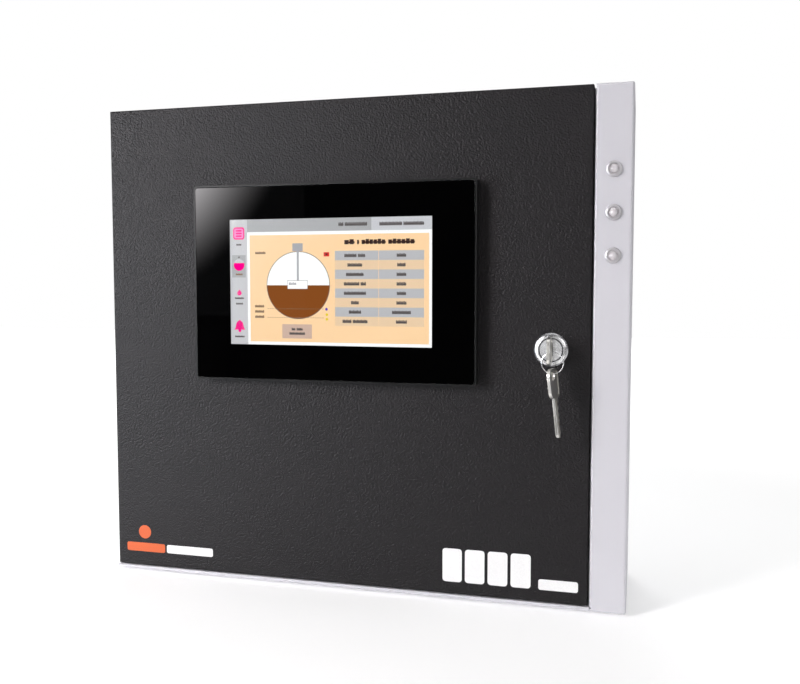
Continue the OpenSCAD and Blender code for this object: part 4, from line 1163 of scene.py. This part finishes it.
def area_light(name, at, target, size, power):
    data = bpy.data.lights.new(name, "AREA")
    data.shape = "RECTANGLE"
    data.size, data.size_y = size
    data.energy = power
    light = new_object(name, data)
    light.location = at
    aim(light, Vector(target) - Vector(at))
    return light


def keep_off(light, names):
    """Keeps a light, and its mirror image, off some pieces."""
    group = bpy.data.collections.new("unlit_" + light.name)
    for name in names:
        group.objects.link(bpy.data.objects[name])
    light.light_linking.receiver_collection = group
    for entry in group.collection_objects:
        entry.light_linking.link_state = "EXCLUDE"


def make_lights():
    lights = {name: area_light(name, *values) for name, values in LIGHTS.items()}
    # The low light only adds a cool sheen to the door's paint
    sheen = lights["left_low"]
    sheen.data.color = SHEEN_TINT
    sheen.visible_diffuse = False
    keep_off(sheen, ("cover_glass", "glass_coat"))


def make_world():
    """A white surround for the eye, and a dimmer one for what it lights."""
    world = bpy.data.worlds.new("world")
    world.use_nodes = True
    tree = world.node_tree
    background = tree.nodes["Background"]
    background.inputs["Color"].default_value = WHITE
    path = tree.nodes.new("ShaderNodeLightPath")
    mix = tree.nodes.new("ShaderNodeMapRange")
    mix.inputs["To Min"].default_value = WORLD_LIGHT
    mix.inputs["To Max"].default_value = WORLD_SEEN
    tree.links.new(path.outputs["Is Camera Ray"], mix.inputs["Value"])
    tree.links.new(mix.outputs["Result"], background.inputs["Strength"])
    bpy.context.scene.world = world


def stage_plane(name, corners, material, seen=True):
    mesh = bpy.data.meshes.new(name)
    mesh.from_pydata(corners, [], [(0, 1, 2, 3)])
    mesh.materials.append(material)
    plane = new_object(name, mesh)
    plane.visible_camera = seen
    return plane


def upright(name, left, right, low, high, y, material):
    """A plane that faces the object, and that the camera doesn't see."""
    corners = [(left, y, low), (right, y, low), (right, y, high), (left, y, high)]
    return stage_plane(name, corners, material, False)


def make_floor():
    m = Nodes("floor")
    m.colour(m.noise(3, 2), (0.86,) * 3, (0.89,) * 3)
    glow = m.ramp(m.distance(m.place), *GLOW_REACH, *FLOOR_GLOW)
    m.set(Emission_Color=WHITE, Emission_Strength=glow, Roughness=0.9, Specular_IOR_Level=0.0)
    z = CAD_LOW.z - FLOOR_GAP
    stage_plane("floor", [(x, y, z) for x, y in FLOOR_CORNERS], m.material)


def make_cards():
    """In front, a black card for the display's glass to mirror, and a pale one for the lock and the keys."""
    for name, (left, right, top, dark, light, glow) in CARDS.items():
        m = Nodes(name)
        m.colour(m.noise(9, 2), (dark,) * 3, (light,) * 3)
        m.set(Emission_Color=WHITE, Emission_Strength=glow, Roughness=0.9, Specular_IOR_Level=0.0)
        upright(name, left, right, CAD_LOW.z, top, CARD_Y, m.material)


def make_softbox():
    """A large soft light at the upper left, brightest in the middle, whose fading edge the glass mirrors."""
    m = Nodes("softbox")
    half_x, half_z = SOFTBOX_HALF
    reach = m.distance(m.mapped(Scale=(1 / half_x, 1, 1 / half_z)))
    fade = m.ramp(reach, 0.0, 1.0, 1.0, 0.0)
    glow = m.maths("MINIMUM", m.maths("MULTIPLY", m.maths("POWER", fade, 2.0), SOFTBOX_POWER), SOFTBOX_LIMIT)
    m.colour(m.noise(2, 2), (0.01,) * 3, (0.012,) * 3)
    m.set(Emission_Color=SOFTBOX_TINT, Emission_Strength=glow)
    upright("softbox", -half_x, half_x, -half_z, half_z, 0, m.material).location = SOFTBOX_AT


make_world()
make_floor()
make_cards()
make_softbox()
make_lights()
bpy.context.scene.view_settings.view_transform = "Standard"
